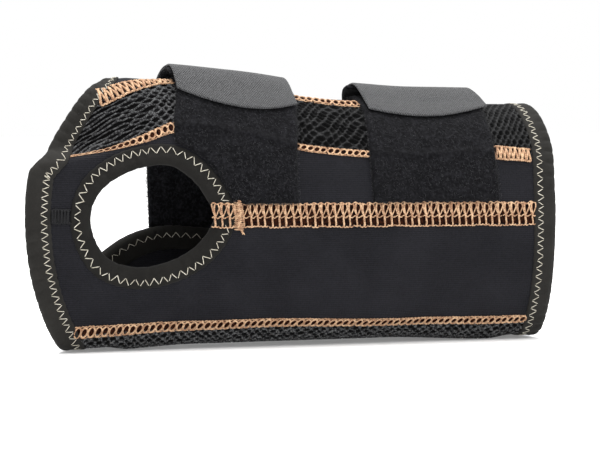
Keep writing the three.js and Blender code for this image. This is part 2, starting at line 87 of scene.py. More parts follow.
seams = {
    "mainRound": 2.4,
    "palmReach": 41.5,
    "wristReach": 30.5,
    "meshReach": 60,
    "backReach": 88,
    "bedShare": 0.86,
    "bedStart": -24,  # the main seam's sheet of painted shade starts only past the thumb hole's tape
    "lower": [(-1.0, 0.985), (-0.8, 0.98), (-0.53, 0.965), (-0.13, 0.952), (0.03, 0.957), (0.3, 0.985),
              (0.5, 0.99), (1.0, 0.985)],
    "wrist": [(-1.0, 0.77), (-0.86, 0.825), (-0.7, 0.92), (-0.56, 1.05), (-0.42, 1.21), (-0.2, 1.13),
              (0.01, 0.95), (0.2, 0.865), (0.5, 0.82), (0.77, 0.855), (1.0, 0.785)],
    "top": [(-1.0, 0.75), (-0.7, 0.83), (-0.57, 0.925), (-0.43, 1.0), (-0.2, 1.0), (0.06, 0.91),
            (0.26, 0.86), (0.4, 0.88), (0.6, 1.0), (0.8, 1.12), (1.0, 1.17)],
}

halfLength = shape["length"] / 2


def smooth(at, low, high):  # 0 below low, 1 above high, an S curve between
    t = np.clip((at - low) / (high - low), 0, 1)
    return t * t * (3 - 2 * t)


def mix(a, b, t):
    return a + (b - a) * t


def follow(rows, at, column=1):  # a cubic through the rows, with slopes taken from their neighbours
    table = np.asarray(rows, float)
    key, value = table[:, 0], table[:, column]
    last = len(key) - 1
    order = np.arange(last + 1)
    before, after = np.maximum(order - 1, 0), np.minimum(order + 1, last)
    slope = (value[after] - value[before]) / (key[after] - key[before])
    at = np.clip(at, key[0], key[-1])
    i = np.clip(np.searchsorted(key, at, side="right") - 1, 0, last - 1)
    span = key[i + 1] - key[i]
    t = (at - key[i]) / span
    return ((2 * t**3 - 3 * t**2 + 1) * value[i] + (t**3 - 2 * t**2 + t) * span * slope[i]
            + (3 * t**2 - 2 * t**3) * value[i + 1] + (t**3 - t**2) * span * slope[i + 1])


def lowerSeamAt(x):
    return -seams["palmReach"] * follow(seams["lower"], x / halfLength)


def wristSeamAt(x):
    return seams["wristReach"] * follow(seams["wrist"], x / halfLength)


def topSeamAt(x):
    return seams["meshReach"] * follow(seams["top"], x / halfLength)


def handCurve(v):
    share = np.where(v > 0, v / shape["upperReach"], v / shape["lowerReach"])
    return -halfLength + shape["handSlant"] * follow(shape["handEdge"], share)


def forearmCurve(v):
    return halfLength + shape["forearmFlare"] * smooth(v, shape["flareFrom"], shape["flareTo"])


def cornerDraw(toEdge, radius):  # how far a quarter circle draws in, at a distance from its edge
    short = np.clip(radius - toEdge, 0, radius)
    return radius - np.sqrt(radius**2 - short**2)


def endCurves(v, inset):  # hand and forearm edge of a panel that stops inset short of the fold
    corner = shape["corners"]
    toTop, toLow = shape["upperReach"] - inset - v, v + shape["lowerReach"] - inset
    hand = (handCurve(v) + inset + cornerDraw(toTop, corner["upperHand"] - inset)
            + cornerDraw(toLow, corner["lowerHand"] - inset))
    forearm = (forearmCurve(v) - inset - cornerDraw(toTop, corner["upperForearm"] - inset)
               - cornerDraw(toLow, corner["lowerForearm"] - inset))
    return hand, forearm


# Skin table: the closed sections at every millimetre along x, read at every half millimetre of
# arc, then pushed in along their normals at the ledge and by the cloth's own slow waves.
def skinTable():
    x = np.arange(-114, 114.5, 1.0)
    v = np.arange(-140, 185.5, 0.5)
    share = np.clip(x / halfLength, -1, 1)
    depth, height, waist, lean, heel = (follow(shape["stations"], share, k) for k in range(1, 6))
    depth = mix(shape["handDepth"], shape["forearmDepth"], depth)[:, None]
    height = mix(shape["handHeight"], shape["forearmHeight"], height)
    waist, lean, heel = (height * waist)[:, None], lean[:, None], (height * heel)[:, None]
    height = height[:, None]
    handEnd = float(handCurve(np.array(shape["baseRound"]))) + shape["endReach"]
    forearmEnd = halfLength - shape["endReach"]
    floor = shape["endRise"] * (1 - smooth(x, handEnd, handEnd + shape["endRamp"])
                                + smooth(x, forearmEnd - shape["endRamp"], forearmEnd))[:, None]
    angle = 2 * np.pi * (1 - np.arange(shape["girthSteps"] + 1) / shape["girthSteps"])
    side, up = np.cos(angle), np.sin(angle)
    power = np.where(up >= 0, 1.0, 2 / shape["lowerFullness"])
    rise = np.sign(up) * np.abs(up)**power
    y = depth / 2 * np.sign(side) * np.abs(side)**power + np.where(up > 0, depth * lean * rise, 0)
    z = waist + np.where(up >= 0, height - waist, waist + heel) * rise
    near = np.maximum(shape["foldRounding"] - np.abs(z - floor), 0) / shape["foldRounding"]
    z = np.maximum(z, floor) + near**2 * shape["foldRounding"] / 4
    step = np.hypot(np.diff(y, axis=1), np.diff(z, axis=1))
    arc = np.concatenate([np.zeros((len(x), 1)), np.cumsum(step, axis=1)], axis=1)
    quarter = shape["girthSteps"] // 4
    points = np.zeros((len(x), len(v), 3))
    girth = arc[:, -1]
    for i in range(len(x)):
        zero = np.interp(shape["reference"], z[i, quarter:3 * quarter], arc[i, quarter:3 * quarter])
        at = (zero + v) % girth[i]
        points[i, :, 1], points[i, :, 2] = np.interp(at, arc[i], y[i]), np.interp(at, arc[i], z[i])
    points[:, :, 0] = x[:, None]
    points -= normalsOf(points) * ledgeDepth(x[:, None], v[None, :])[..., None]
    points += normalsOf(points) * clothWaves(x[:, None], v[None, :])[..., None]
    return {"x": x, "v": v, "points": points, "normals": normalsOf(points), "girth": girth}


def normalsOf(points):  # cross product of the two directions of a grid
    along, up = np.gradient(points, axis=0), np.gradient(points, axis=1)
    normal = np.cross(along, up)
    return normal / np.maximum(np.linalg.norm(normal, axis=-1, keepdims=True), 1e-9)


def ledgeDepth(x, v):  # step in above the wrist seam at the hand end, fading out higher up
    ledge = shape["ledge"]
    over = v - wristSeamAt(x) - ledge["shift"]
    inside = (v > 0) & (v < shape["upperReach"])
    return np.where(inside, ledge["depth"] * (1 - smooth(x, ledge["full"], ledge["start"]))
                    * smooth(over, -ledge["rise"] / 2, ledge["rise"] / 2)
                    * (1 - smooth(over, ledge["rise"] / 2, ledge["rise"] / 2 + ledge["fade"])), 0)


sag = {  # how the soft wrap settles
    "still": (14, 26),  # from the base's middle line: no waves where it stands on the floor
    "arch": 1.9,  # under the base, between its two ends
    "archStart": (-80, -35),
    "archEnd": (40, 88),
    "archLow": (-104, -92),
    "archHigh": (-46, -34),
    "sunk": 2.4,  # the hand end's top corner
    "sunkEnd": (-72, -58),
    "sunkLow": (50, 62),
}


def clothWaves(x, v):  # slow waves a few tenths of a millimetre high, less the two places that sag
    wave = (0.22 * np.sin(x / 17 + 0.06 * v) * np.sin(v / 13 + 1.1)
            + 0.16 * np.sin(x / 9 - v / 15 + 2.0) + 0.1 * np.sin(x / 5.5 + v / 7))
    moving = smooth(np.abs(v - shape["baseRound"]), *sag["still"])
    span = smooth(x, *sag["archStart"]) * (1 - smooth(x, *sag["archEnd"]))
    arch = sag["arch"] * span * smooth(v, *sag["archLow"]) * (1 - smooth(v, *sag["archHigh"]))
    sunk = sag["sunk"] * (1 - smooth(x, *sag["sunkEnd"])) * smooth(v, *sag["sunkLow"])
    return wave * moving - arch - sunk


skin = skinTable()


def sample(table, x, v):  # bilinear reading of a skin table
    fx = np.clip(x - skin["x"][0], 0, len(skin["x"]) - 1.001)
    fv = np.clip((v - skin["v"][0]) * 2, 0, len(skin["v"]) - 1.001)
    i, j = fx.astype(int), fv.astype(int)
    a, b = (fx - i)[..., None], (fv - j)[..., None]
    return mix(mix(table[i, j], table[i + 1, j], a), mix(table[i, j + 1], table[i + 1, j + 1], a), b)


def normalAt(x, v):
    normal = sample(skin["normals"], *np.broadcast_arrays(x, v))
    return normal / np.linalg.norm(normal, axis=-1, keepdims=True)


def wrap(x, v, lift=0.0):  # the skin's point, moved out along its normal by the lift
    x, v, lift = np.broadcast_arrays(np.asarray(x, float), np.asarray(v, float), np.asarray(lift, float))
    return sample(skin["points"], x, v) + normalAt(x, v) * lift[..., None]


print("skin worked out")


# Shader maths
class Wire:
    def __init__(self, tree, socket=None):
        self.tree, self.socket = tree, socket

    def node(self, kind, settings=None, inputs=None, output=0):
        made = self.tree.nodes.new(kind)
        for key, value in (settings or {}).items():
            if key == "stops":
                ramp = made.color_ramp
                while len(ramp.elements) < len(value):
                    ramp.elements.new(1)
                for element, (position, color) in zip(ramp.elements, value):
                    element.position, element.color = position, color
            else:
                setattr(made, key, value)
        for key, value in (inputs or {}).items():
            if isinstance(value, Wire):
                self.tree.links.new(value.socket, made.inputs[key])
            else:
                made.inputs[key].default_value = value
        return Wire(self.tree, made.outputs[output]) if len(made.outputs) else made

    def math(self, operation, *values):
        return self.node("ShaderNodeMath", {"operation": operation}, dict(enumerate(values)))

    def __add__(self, other):
        return self.math("ADD", self, other)

    def __sub__(self, other):
        return self.math("SUBTRACT", self, other)

    def __mul__(self, other):
        return self.math("MULTIPLY", self, other)

    __radd__, __rmul__ = __add__, __mul__

    def sine(self):
        return self.math("SINE", self)

    def absolute(self):
        return self.math("ABSOLUTE", self)

    def between(self, low, high):  # 0 below low, 1 above high
        return self.node("ShaderNodeMapRange", {"interpolation_type": "SMOOTHSTEP"},
                         {"Value": self, "From Min": low, "From Max": high})

    def colours(self, first, second):  # first where the value is 0, second where it is 1
        return self.node("ShaderNodeMix", {"data_type": "RGBA"},
                         {"Factor": self, 6: (*first, 1), 7: (*second, 1)}, output=2)

    def colourOver(self, base, second):  # a wired colour where the value is 0, second where it is 1
        return self.node("ShaderNodeMix", {"data_type": "RGBA"},
                         {"Factor": self, 6: base, 7: (*second, 1)}, output=2)

    def noise(self, vector, scale, detail=2.0, roughness=0.5):
        return self.node("ShaderNodeTexNoise", {}, {"Vector": vector, "Scale": scale, "Detail": detail,
                                                    "Roughness": roughness})


def startMaterial(name):
    material = bpy.data.materials.new(name)
    material.use_nodes = True
    tree = material.node_tree
    tree.nodes.clear()
    start = Wire(tree)
    place = start.node("ShaderNodeTexCoord", {}, {}, output="Object")
    cloth = start.node("ShaderNodeUVMap", {"uv_map": "cloth"}, {})
    return material, start, place, cloth


def finishMaterial(material, start, colour, roughness, height=None, bump=0.5, reach=0.0003, **constants):
    normal = {}
    if height is not None:
        normal["Normal"] = start.node("ShaderNodeBump", {}, {"Height": height, "Strength": bump,
                                                           "Distance": reach})
    surface = start.node("ShaderNodeBsdfPrincipled", {}, {"Base Color": colour, "Roughness": roughness,
                                                         **constants, **normal})
    start.node("ShaderNodeOutputMaterial", {}, {"Surface": surface})
    return material


def lit(colour, lighter):  # a colour made lighter, or darker where the factor is under 1
    return tuple(lighter * part for part in colour)


def split(start, vector):
    parts = start.node("ShaderNodeSeparateXYZ", {}, {"Vector": vector}).socket.node.outputs
    return Wire(start.tree, parts[0]), Wire(start.tree, parts[1])


# The "cloth" map of every piece holds millimetres: along the piece, and across it.
neopreneLook = {
    "colour": (0.0026, 0.0026, 0.0038),
    "worn": (0.0160, 0.0160, 0.0196),
    "rowPitch": 0.8,
    "stitchPitch": 0.9,
}


def neopreneMaterial():
    material, start, place, cloth = startMaterial("neopreneKnit")
    along, across = split(start, cloth)
    rows = (across * (2 * math.pi / neopreneLook["rowPitch"])).sine() * 0.5 + 0.5
    stitches = (along * (2 * math.pi / neopreneLook["stitchPitch"])).sine() * 0.5 + 0.5
    grain = start.noise(place, 1300, 3, 0.65).between(0.3, 0.7)
    cloud = start.noise(place, 38, 3, 0.55).between(0.35, 0.75)
    height = rows * 0.5 + stitches * 0.2 + grain * 0.7
    colour = (cloud * 0.3 + grain * 0.4 + rows * 0.3).colours(neopreneLook["colour"], neopreneLook["worn"])
    return finishMaterial(material, start, colour, 0.6 + grain * 0.2, height, 0.55, 0.00022,
                          **{"Sheen Weight": 0.02, "Sheen Roughness": 0.4, "Specular IOR Level": 0.08})


meshLook = {
    "yarn": (0.092, 0.093, 0.094),
    "shade": (0.007, 0.007, 0.008),
    # the holes' colour, near black: partly the dark inner layer that shows through, partly painted shade in
    # the recess
    "hollow": (0.0010, 0.0010, 0.0012),
    "innerHollow": 0.36,
    "basePaintedLight": 1.45,  # painted light: the base mesh turns away from the lamps, so its colours are made lighter to stand in for the light the floor throws up on it
}


def meshMaterial(name, lighter):
    material, start, place, cloth = startMaterial(name)
    depth = start.node("ShaderNodeAttribute", {"attribute_name": "hollow"}, {}, output="Fac")
    fibres = start.noise(place, 1500, 3, 0.6)
    yarn = fibres.between(0.4, 0.66).colours(lit(meshLook["shade"], lighter), lit(meshLook["yarn"], lighter))
    # painted shade: the hollow attribute darkens the holes towards the near-black hole colour
    colour = depth.between(0.1, 0.5).colourOver(yarn, meshLook["hollow"])
    return finishMaterial(material, start, colour, 0.55 + fibres * 0.3, fibres, 0.7, 0.0003,
                          **{"Sheen Weight": 0.02, "Specular IOR Level": 0.1})


tapeLook = {
    "colour": (0.0085, 0.0080, 0.0071),
    "light": (0.0235, 0.0223, 0.0201),
    "pitch": 0.55,
    "thumbLighter": 0.6,  # the thumb hole's tape is darker
}


def tapeMaterial(name, lighter):
    material, start, place, cloth = startMaterial(name)
    along, across = split(start, cloth)
    turn = 2 * math.pi / tapeLook["pitch"]
    weave = (along * turn).sine() * (across * turn).sine() * 0.5 + 0.5
    grain = start.noise(place, 1400, 2, 0.6)
    cloud = start.noise(place, 90, 3, 0.6).between(0.3, 0.75)
    colour = (grain * 0.45 + weave * 0.2 + cloud * 0.3).colours(
        lit(tapeLook["colour"], lighter), lit(tapeLook["light"], lighter))
    return finishMaterial(material, start, colour, 0.72 + grain * 0.15, weave * 0.5 + grain, 0.5, 0.0002,
                          **{"Sheen Weight": 0.02, "Sheen Roughness": 0.5, "Specular IOR Level": 0.1})


pileLook = {
    "colour": (0.0022, 0.0022, 0.0028),
    "tips": (0.0138, 0.0138, 0.0160),
    "fibre": (0.050, 0.050, 0.055),
    # painted light: the straps' pile is coloured lighter than the bands', to lift the shade inside the brace
    # where a strap is seen through the thumb hole
    "strapPaintedLight": 1.7,
}


def pileMaterial(name, lighter):
    material, start, place, cloth = startMaterial(name)
    loops = start.noise(place, 950, 4, 0.65)
    clumps = start.noise(place, 260, 3, 0.6)
    tips = loops.between(0.42, 0.7)
    colour = (tips * 0.7 + clumps.between(0.4, 0.7) * 0.3).colours(
        pileLook["colour"], lit(pileLook["tips"], lighter))
    return finishMaterial(material, start, colour, 0.85 + clumps * 0.1, loops * 0.7 + clumps * 0.6,
                          0.9, 0.0007, **{"Sheen Weight": 0.02, "Sheen Roughness": 0.6,
                                          "Specular IOR Level": 0.05})


hookLook = {
    "colour": (0.0035, 0.0035, 0.0040),
    "light": (0.102, 0.103, 0.107),
    "pitch": 1.9,
}


def hookMaterial():
    material, start, place, cloth = startMaterial("hookTapeBack")
    along, across = split(start, cloth)
    turn = 2 * math.pi / hookLook["pitch"]
    twill = ((along + across) * turn).sine().absolute() * ((along - across) * turn).sine().absolute()
    grain = start.noise(place, 1100, 3, 0.65)
    colour = (twill.between(0.02, 0.55) * 0.55 + grain.between(0.3, 0.7) * 0.3).colours(
        hookLook["colour"], hookLook["light"])
    return finishMaterial(material, start, colour, 0.42 + grain * 0.2, twill + grain * 1.3, 0.9, 0.0004,
                          **{"Sheen Weight": 0.03, "Specular IOR Level": 0.3})


threadLook = {
    # each thread's light tone is partly a painted highlight and its deep tone a painted shade, both mixed
    # with the yarn's own uneven colour
    "tan": (0.68, 0.46, 0.285),
    "tanPaintedShade": (0.15, 0.050, 0.020),
    # painted shade: the colour of the dark sheet under the seams
    "bedPaintedShade": (0.0340, 0.0110, 0.0055),
    "cream": (0.66, 0.63, 0.55),
    "creamPaintedShade": (0.30, 0.27, 0.20),
    "black": (0.0065, 0.0065, 0.0080),
    "blackPaintedShade": (0.0022, 0.0022, 0.0028),
}


def threadMaterial(name, light, deep):
    material, start, place, cloth = startMaterial(name)
    along, across = split(start, cloth)
    plies = (along * 9.0 + across * (2 * math.pi)).sine() * 0.5 + 0.5  # twisted plies round the strand
    patches = start.noise(place, 700, 3, 0.6).between(0.38, 0.66)
    fibres = start.noise(place, 3500, 2, 0.6)
    # painted light: the colour runs from the deep tone, painted shade, to the light tone, partly painted
    # highlight, mixed by patches, plies and fibres; partly it is the yarn's own uneven colour
    colour = (patches * 0.5 + plies * 0.2 + fibres * 0.35).colours(deep, light)
    return finishMaterial(material, start, colour, 0.6 + fibres * 0.2, plies + fibres * 0.5, 0.5, 0.0001,
                          **{"Sheen Weight": 0.03, "Specular IOR Level": 0.2})


# painted shade: a dark brown sheet under the seams' threads
def bedMaterial():
    material, start, place, cloth = startMaterial("seamBed")
    grain = start.noise(place, 1200, 2, 0.6)
    colour = grain.between(0.3, 0.7).colours(threadLook["blackPaintedShade"], threadLook["bedPaintedShade"])
    return finishMaterial(material, start, colour, 0.9 + grain * 0.05, grain, 0.5, 0.0002,
                          **{"Specular IOR Level": 0.02})


materials = {
    "neoprene": neopreneMaterial(),
    "mesh": meshMaterial("spacerMesh", 1.0),
    # painted light: the base mesh is a lighter copy of the spacer mesh
    "baseMeshPaintedLight": meshMaterial("baseSpacerMeshPaintedLight", meshLook["basePaintedLight"]),
    "tape": tapeMaterial("bindingTape", 1.0),
    "thumbTape": tapeMaterial("thumbBindingTape", tapeLook["thumbLighter"]),
    "loop": pileMaterial("loopPile", 1.0),
    # painted light: a lighter copy of the loop pile
    "strap": pileMaterial("strapPilePaintedLight", pileLook["strapPaintedLight"]),
    "hook": hookMaterial(),
    "tanThread": threadMaterial("seamThread", threadLook["tan"], threadLook["tanPaintedShade"]),
    "creamThread": threadMaterial("zigzagThread", threadLook["cream"], threadLook["creamPaintedShade"]),
    "blackThread": threadMaterial("blackThread", threadLook["black"], threadLook["blackPaintedShade"]),
    "fibre": threadMaterial("looseFibre", pileLook["fibre"], pileLook["colour"]),
    "seamBed": bedMaterial(),
}
print("materials made")


# Mesh building
def gridFaces(rows, columns, start=0, aroundRows=False, aroundColumns=False):
    # quads between neighbouring points of a grid stored row by row
    j = np.arange(rows if aroundRows else rows - 1)[:, None]
    i = np.arange(columns if aroundColumns else columns - 1)[None, :]
    nextJ, nextI = (j + 1) % rows, (i + 1) % columns
    corners = [j * columns + i, j * columns + nextI, nextJ * columns + nextI, nextJ * columns + i]
    return np.stack(np.broadcast_arrays(*corners), axis=-1).reshape(-1, 4) + start


def makePiece(name, points, faces, cloth, material, replaced=(), extra=None, caps=()):
    mesh = bpy.data.meshes.new(name)
    allFaces = faces.tolist() + [list(cap) for cap in caps]
    mesh.from_pydata((points * millimetre).tolist(), [], allFaces)
    layer = mesh.uv_layers.new(name="cloth")
    index = np.zeros(len(mesh.loops), np.int32)
    mesh.loops.foreach_get("vertex_index", index)
    layer.data.foreach_set("uv", cloth[index].astype(np.float32).ravel())
    for key, values in (extra or {}).items():
        attribute = mesh.attributes.new(key, "FLOAT", "POINT")
        attribute.data.foreach_set("value", values.astype(np.float32).ravel())
    mesh.materials.append(material)
    mesh.polygons.foreach_set("use_smooth", np.ones(len(mesh.polygons), bool))
    mesh.update()
    piece = bpy.data.objects.new(name, mesh)
    bpy.context.scene.collection.objects.link(piece)
    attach(piece, "root")
    if replaced:
        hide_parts(*replaced)
    print(name, len(mesh.vertices), "points")
    return piece


def makeShell(name, x, v, outer, inner, material, replaced, hollow=None):
    # two grids of the same places at an outer and an inner lift, joined by a rim
    rows, columns = x.shape
    x, v, outer, inner = np.broadcast_arrays(x, v, outer, inner)
    points = np.concatenate([wrap(x, v, outer).reshape(-1, 3), wrap(x, v, inner).reshape(-1, 3)])
    front = gridFaces(rows, columns)
    back = gridFaces(rows, columns, rows * columns)[:, ::-1]
    order = np.arange(rows * columns).reshape(rows, columns)
    rim = np.concatenate([order[0, :], order[1:, -1], order[-1, -2::-1], order[-2:0:-1, 0]])
    following = np.roll(rim, -1)
    sides = np.stack([rim, rim + rows * columns, following + rows * columns, following], axis=-1)
    cloth = np.stack([x, v], axis=-1).reshape(-1, 2)
    extra = None
    # the hollow attribute carries the painted shade of the mesh's holes
    if hollow is not None:  # the inner side is evenly dark
        extra = {"hollow": np.concatenate([hollow.ravel(), np.full(hollow.size, meshLook["innerHollow"])])}
    return makePiece(name, points, np.concatenate([front, back, sides]), np.concatenate([cloth, cloth]),
                     material, replaced, extra)


# Route: a line on the brace given by x and v at even steps of its length, with the direction to
# its right. Offsets into the panel are taken along that direction.
def makeRoute(x, v, closed, step=0.5, soften=0):
    if closed:
        x, v = np.append(x, x[0]), np.append(v, v[0])
    length = np.concatenate([[0], np.cumsum(np.hypot(np.diff(x), np.diff(v)))])
    count = int(round(length[-1] / step))
    at = np.linspace(0, length[-1], count + 1)
    x, v = np.interp(at, length, x), np.interp(at, length, v)
    for _ in range(soften):  # on a closed route, evens out the turn where two stretches meet
        for line in (x, v):
            line[:-1] = (np.roll(line[:-1], 1) + 2 * line[:-1] + np.roll(line[:-1], -1)) / 4
            line[-1] = line[0]
    if closed:
        along = np.stack([np.roll(x[:-1], -1) - np.roll(x[:-1], 1), np.roll(v[:-1], -1) - np.roll(v[:-1], 1)])
        along = np.concatenate([along, along[:, :1]], axis=1)
    else:
        along = np.stack([np.gradient(x), np.gradient(v)])
    along /= np.linalg.norm(along, axis=0)
    return {"at": at, "x": x, "v": v, "rightX": along[1], "rightV": -along[0], "length": at[-1],
            "closed": closed}


def onRoute(route, at, into):  # the place at a distance along a route and an offset to its right
    if route["closed"]:
        at = at % route["length"]
    read = {key: np.interp(at, route["at"], route[key]) for key in ("x", "v", "rightX", "rightV")}
    return read["x"] + read["rightX"] * into, read["v"] + read["rightV"] * into


def quarterTurn(centreX, centreV, radius, start, steps=24):  # clockwise from an angle
    angle = start - np.linspace(0, np.pi / 2, steps)
    v = centreV + radius * np.sin(angle)
    return centreX(v) + radius * np.cos(angle), v


def edgeRoute():  # up the hand edge, along the upper flap, down the forearm edge, back below
    corner, top, low = shape["corners"], shape["upperReach"], -shape["lowerReach"]
    lowHand = quarterTurn(lambda v: handCurve(v) + corner["lowerHand"], low + corner["lowerHand"],
                          corner["lowerHand"], 1.5 * np.pi)
    handV = np.linspace(low + corner["lowerHand"], top - corner["upperHand"], 300)[1:-1]
    topHand = quarterTurn(lambda v: handCurve(v) + corner["upperHand"], top - corner["upperHand"],
                          corner["upperHand"], np.pi)
    topForearm = quarterTurn(lambda v: forearmCurve(v) - corner["upperForearm"], top - corner["upperForearm"],
                             corner["upperForearm"], np.pi / 2)
    lowForearm = quarterTurn(lambda v: halfLength - corner["lowerForearm"], low + corner["lowerForearm"],
                             corner["lowerForearm"], 0)
    forearmV = np.linspace(top - corner["upperForearm"], low + corner["lowerForearm"], 300)[1:-1]
    x = np.concatenate([lowHand[0], handCurve(handV), topHand[0], topForearm[0], forearmCurve(forearmV),
                        lowForearm[0]])
    v = np.concatenate([lowHand[1], handV, topHand[1], topForearm[1], forearmV, lowForearm[1]])
    return makeRoute(x, v, True, soften=12)


thumbHole = {
    "length": 47,
    "height": 38,
    "along": -56,
    "round": 2.8,
    "outline": [(-1.0, 0.0), (-0.87, 0.45), (-0.55, 0.78), (-0.13, 0.98), (0.32, 1.0), (0.68, 0.69),
                (0.91, 0.26), (1.0, 0.0), (0.91, -0.28), (0.7, -0.6), (0.28, -0.89), (-0.21, -1.0),
                (-0.7, -0.82), (-0.92, -0.45)],
}


def thumbRoute():  # closed cubic through the outline, against the clock, so that the panel is on its right
    corner = np.array(thumbHole["outline"][::-1]) * [thumbHole["length"] / 2, thumbHole["height"] / 2]
    corner += [thumbHole["along"], thumbHole["round"]]
    span = np.sqrt(np.linalg.norm(np.roll(corner, -1, axis=0) - corner, axis=1))
    before, after = np.roll(span, 1)[:, None], span[:, None]
    back = (corner - np.roll(corner, 1, axis=0)) / before
    ahead = (np.roll(corner, -1, axis=0) - corner) / after
    slope = (back * after + ahead * before) / (before + after)
    t = np.linspace(0, 1, 40, endpoint=False)[None, :, None]
    start, end = corner[:, None], np.roll(corner, -1, axis=0)[:, None]
    leave, arrive = slope[:, None] * after[:, None], np.roll(slope, -1, axis=0)[:, None] * after[:, None]
    line = ((2 * t**3 - 3 * t**2 + 1) * start + (t**3 - 2 * t**2 + t) * leave
            + (3 * t**2 - 2 * t**3) * end + (t**3 - t**2) * arrive).reshape(-1, 2)
    return makeRoute(line[:, 0], line[:, 1], True, soften=2)


edge = edgeRoute()
thumb = thumbRoute()


# Panels
panels = {
    "palm": {"rows": 30, "low": lowerSeamAt, "high": lambda x: x * 0 + seams["mainRound"]},
    "wrist": {"rows": 22, "low": lambda x: x * 0 + seams["mainRound"], "high": wristSeamAt},
    "notchColumns": (14, 60, 96),  # hand side of the thumb hole, across it, forearm side
    "handShift": 16,  # length over which the slanted hand edge is taken up
    "backGrid": (150, 24),
    "rounds": 14,
    "fill": 0.5,
}


def notchEdge(upper):  # the panel's cut edge along the upper or the lower half of the thumb hole
    x, v = onRoute(thumb, thumb["at"][:-1], shape["foldDepth"])
    left, right = np.argmin(x), np.argmax(x)
    x, v = np.roll(x, -left), np.roll(v, -left)
    turn = (right - left) % len(x)
    first, second = (x[:turn + 1], v[:turn + 1]), (x[turn:], v[turn:])
    firstIsUpper = first[1].mean() > second[1].mean()
    side = first if firstIsUpper == upper else second
    order = np.argsort(side[0])
    return side[0][order], side[1][order]


def notchPanel(key, upper):
    # columns at fixed x from the hand edge to the forearm edge; each column runs from the low to
    # the high line, and where the hole is, one of those lines is the hole's own edge
    plan = panels[key]
    holeX, holeV = notchEdge(upper)
    before, across, after = panels["notchColumns"]
    handStart = -halfLength + shape["foldDepth"] + shape["handSlant"] * 0.045
    turn = (1 - np.cos(np.linspace(0, np.pi, across))) / 2
    column = np.concatenate([np.linspace(handStart, holeX[0], before, endpoint=False),
                             mix(holeX[0], holeX[-1], turn),
                             np.linspace(holeX[-1], halfLength - shape["foldDepth"], after + 1)[1:]])
    low, high = plan["low"](column), plan["high"](column)
    inHole = (column >= holeX[0]) & (column <= holeX[-1])
    cut = np.interp(column, holeX, holeV)
    if upper:
        low = np.where(inHole, cut, low)
    else:
        high = np.where(inHole, cut, high)
    t = np.linspace(0, 1, plan["rows"] + 1)[:, None]
    v = mix(low, high, t)
    edgeX = handCurve(v) + shape["foldDepth"]
    take = 1 - smooth(column, handStart, handStart + panels["handShift"])
    x = column[None, :] + (edgeX - handStart) * take[None, :]
    x = x + (forearmCurve(v) - halfLength) * smooth(column, halfLength - panels["handShift"], halfLength - 3)
    return x, v


def fullPanel(low, high, columns, rows):
    # each point lies between the two seams and between the two ends; a few rounds settle it
    t, s = np.linspace(0, 1, rows + 1)[:, None], np.linspace(0, 1, columns + 1)[None, :]
    x = mix(-halfLength, halfLength, s) + t * 0
    for _ in range(panels["rounds"]):
        v = mix(low(x), high(x), t)
        hand, forearm = endCurves(v, shape["foldDepth"])
        x = mix(hand, forearm, s)
    return x, v


for key, upper in (("palm", False), ("wrist", True)):
    x, v = notchPanel(key, upper)
    piece = makeShell(f"{key}Panel", x, v, 0.0, -shape["neoprene"], materials["neoprene"],
                      [f"{key}_panel"])

backLine = lambda x: x * 0 - seams["backReach"]
topLine = lambda x: x * 0 + shape["upperReach"] - shape["foldDepth"]
lowLine = lambda x: x * 0 - shape["lowerReach"] + shape["foldDepth"]
for name, node, low, high in (("upperBackPanel", "upper_back_panel", topSeamAt, topLine),
                              ("lowerBackPanel", "lower_back_panel", lowLine, backLine)):
    x, v = fullPanel(low, high, *panels["backGrid"])
    piece = makeShell(name, x, v, 0.0, -shape["neoprene"], materials["neoprene"], [node])

meshWeave = {
    "pitch": 3.3,  # from hole to hole along a row
    "rowPitch": 1.7,
    "farRowPitch": 2.0,  # past the hand's loop band
    "farFrom": (-42, -8),  # where that band hides the change
    "farShade": 0.36,
    "farUneven": 1.7,
    "wave": 0.24,
    "hole": 0.42,  # share of the half pitch
    "slit": 1.7,  # how much longer the holes are at the hand edge
    "slitFrom": (48, 72),  # away from the middle, towards the hand
    "depth": 1.3,
    "rib": 0.35,  # how far the yarn between the holes stands out
    "rim": (0.3, 1.8),  # no holes this close to the seams
    "stretch": 0.13,  # growth of the pitch towards the hand edge, for each millimetre
    "flowStart": -45,  # from here to the hand edge the rows lean more and more
    "flowSpan": 50,
    "flowLean": 0.2,
    "flowTurn": 0.75,
    "flowFall": -0.3,  # lean of the rows past the hand's loop band
    "forearmFrom": 42,  # from here the holes are smaller and closer, in level rows
    "forearmTo": 60,
    "forearmHole": 0.72,
    "forearmCloser": 0.3,
}


def meshFlow(x):  # height of a row of holes over its place at flowStart
    weave = meshWeave
    t = np.clip((weave["flowStart"] - x) / weave["flowSpan"], 0, 1.3)
    hand = -weave["flowSpan"] * (weave["flowLean"] * t + weave["flowTurn"] / 2.5 * t**2.5)
    past = np.clip(x - weave["flowStart"], 0, weave["forearmFrom"] - weave["flowStart"])
    return hand + weave["flowFall"] * past


def holeDepth(cell, row, slit, wave, size=1.0):
    # depth of a net of holes: 1 in a hole's middle, 0 on the ribs. Every other row is set half a
    # cell aside and the ribs between the rows wave round the holes.
    row = row - wave * np.cos(2 * np.pi * cell) * np.sin(np.pi * row)
    base = np.round(row)
    along = cell - 0.5 * (base % 2)
    order = np.round(along)
    own = 0.5 + 0.5 * np.sin(7.31 * order + 4.17 * base)  # each hole has its own openness
    along = np.abs(along - order) / 0.5 / slit
    across = np.abs(row - base) / 0.5
    away = (along**2.4 + across**2.4)**(1 / 2.4)
    edge = size * meshWeave["hole"] * mix(0.62, 1.25, own)
    return (1 - smooth(away, edge, edge + 0.4)) * mix(0.55, 1.0, own)


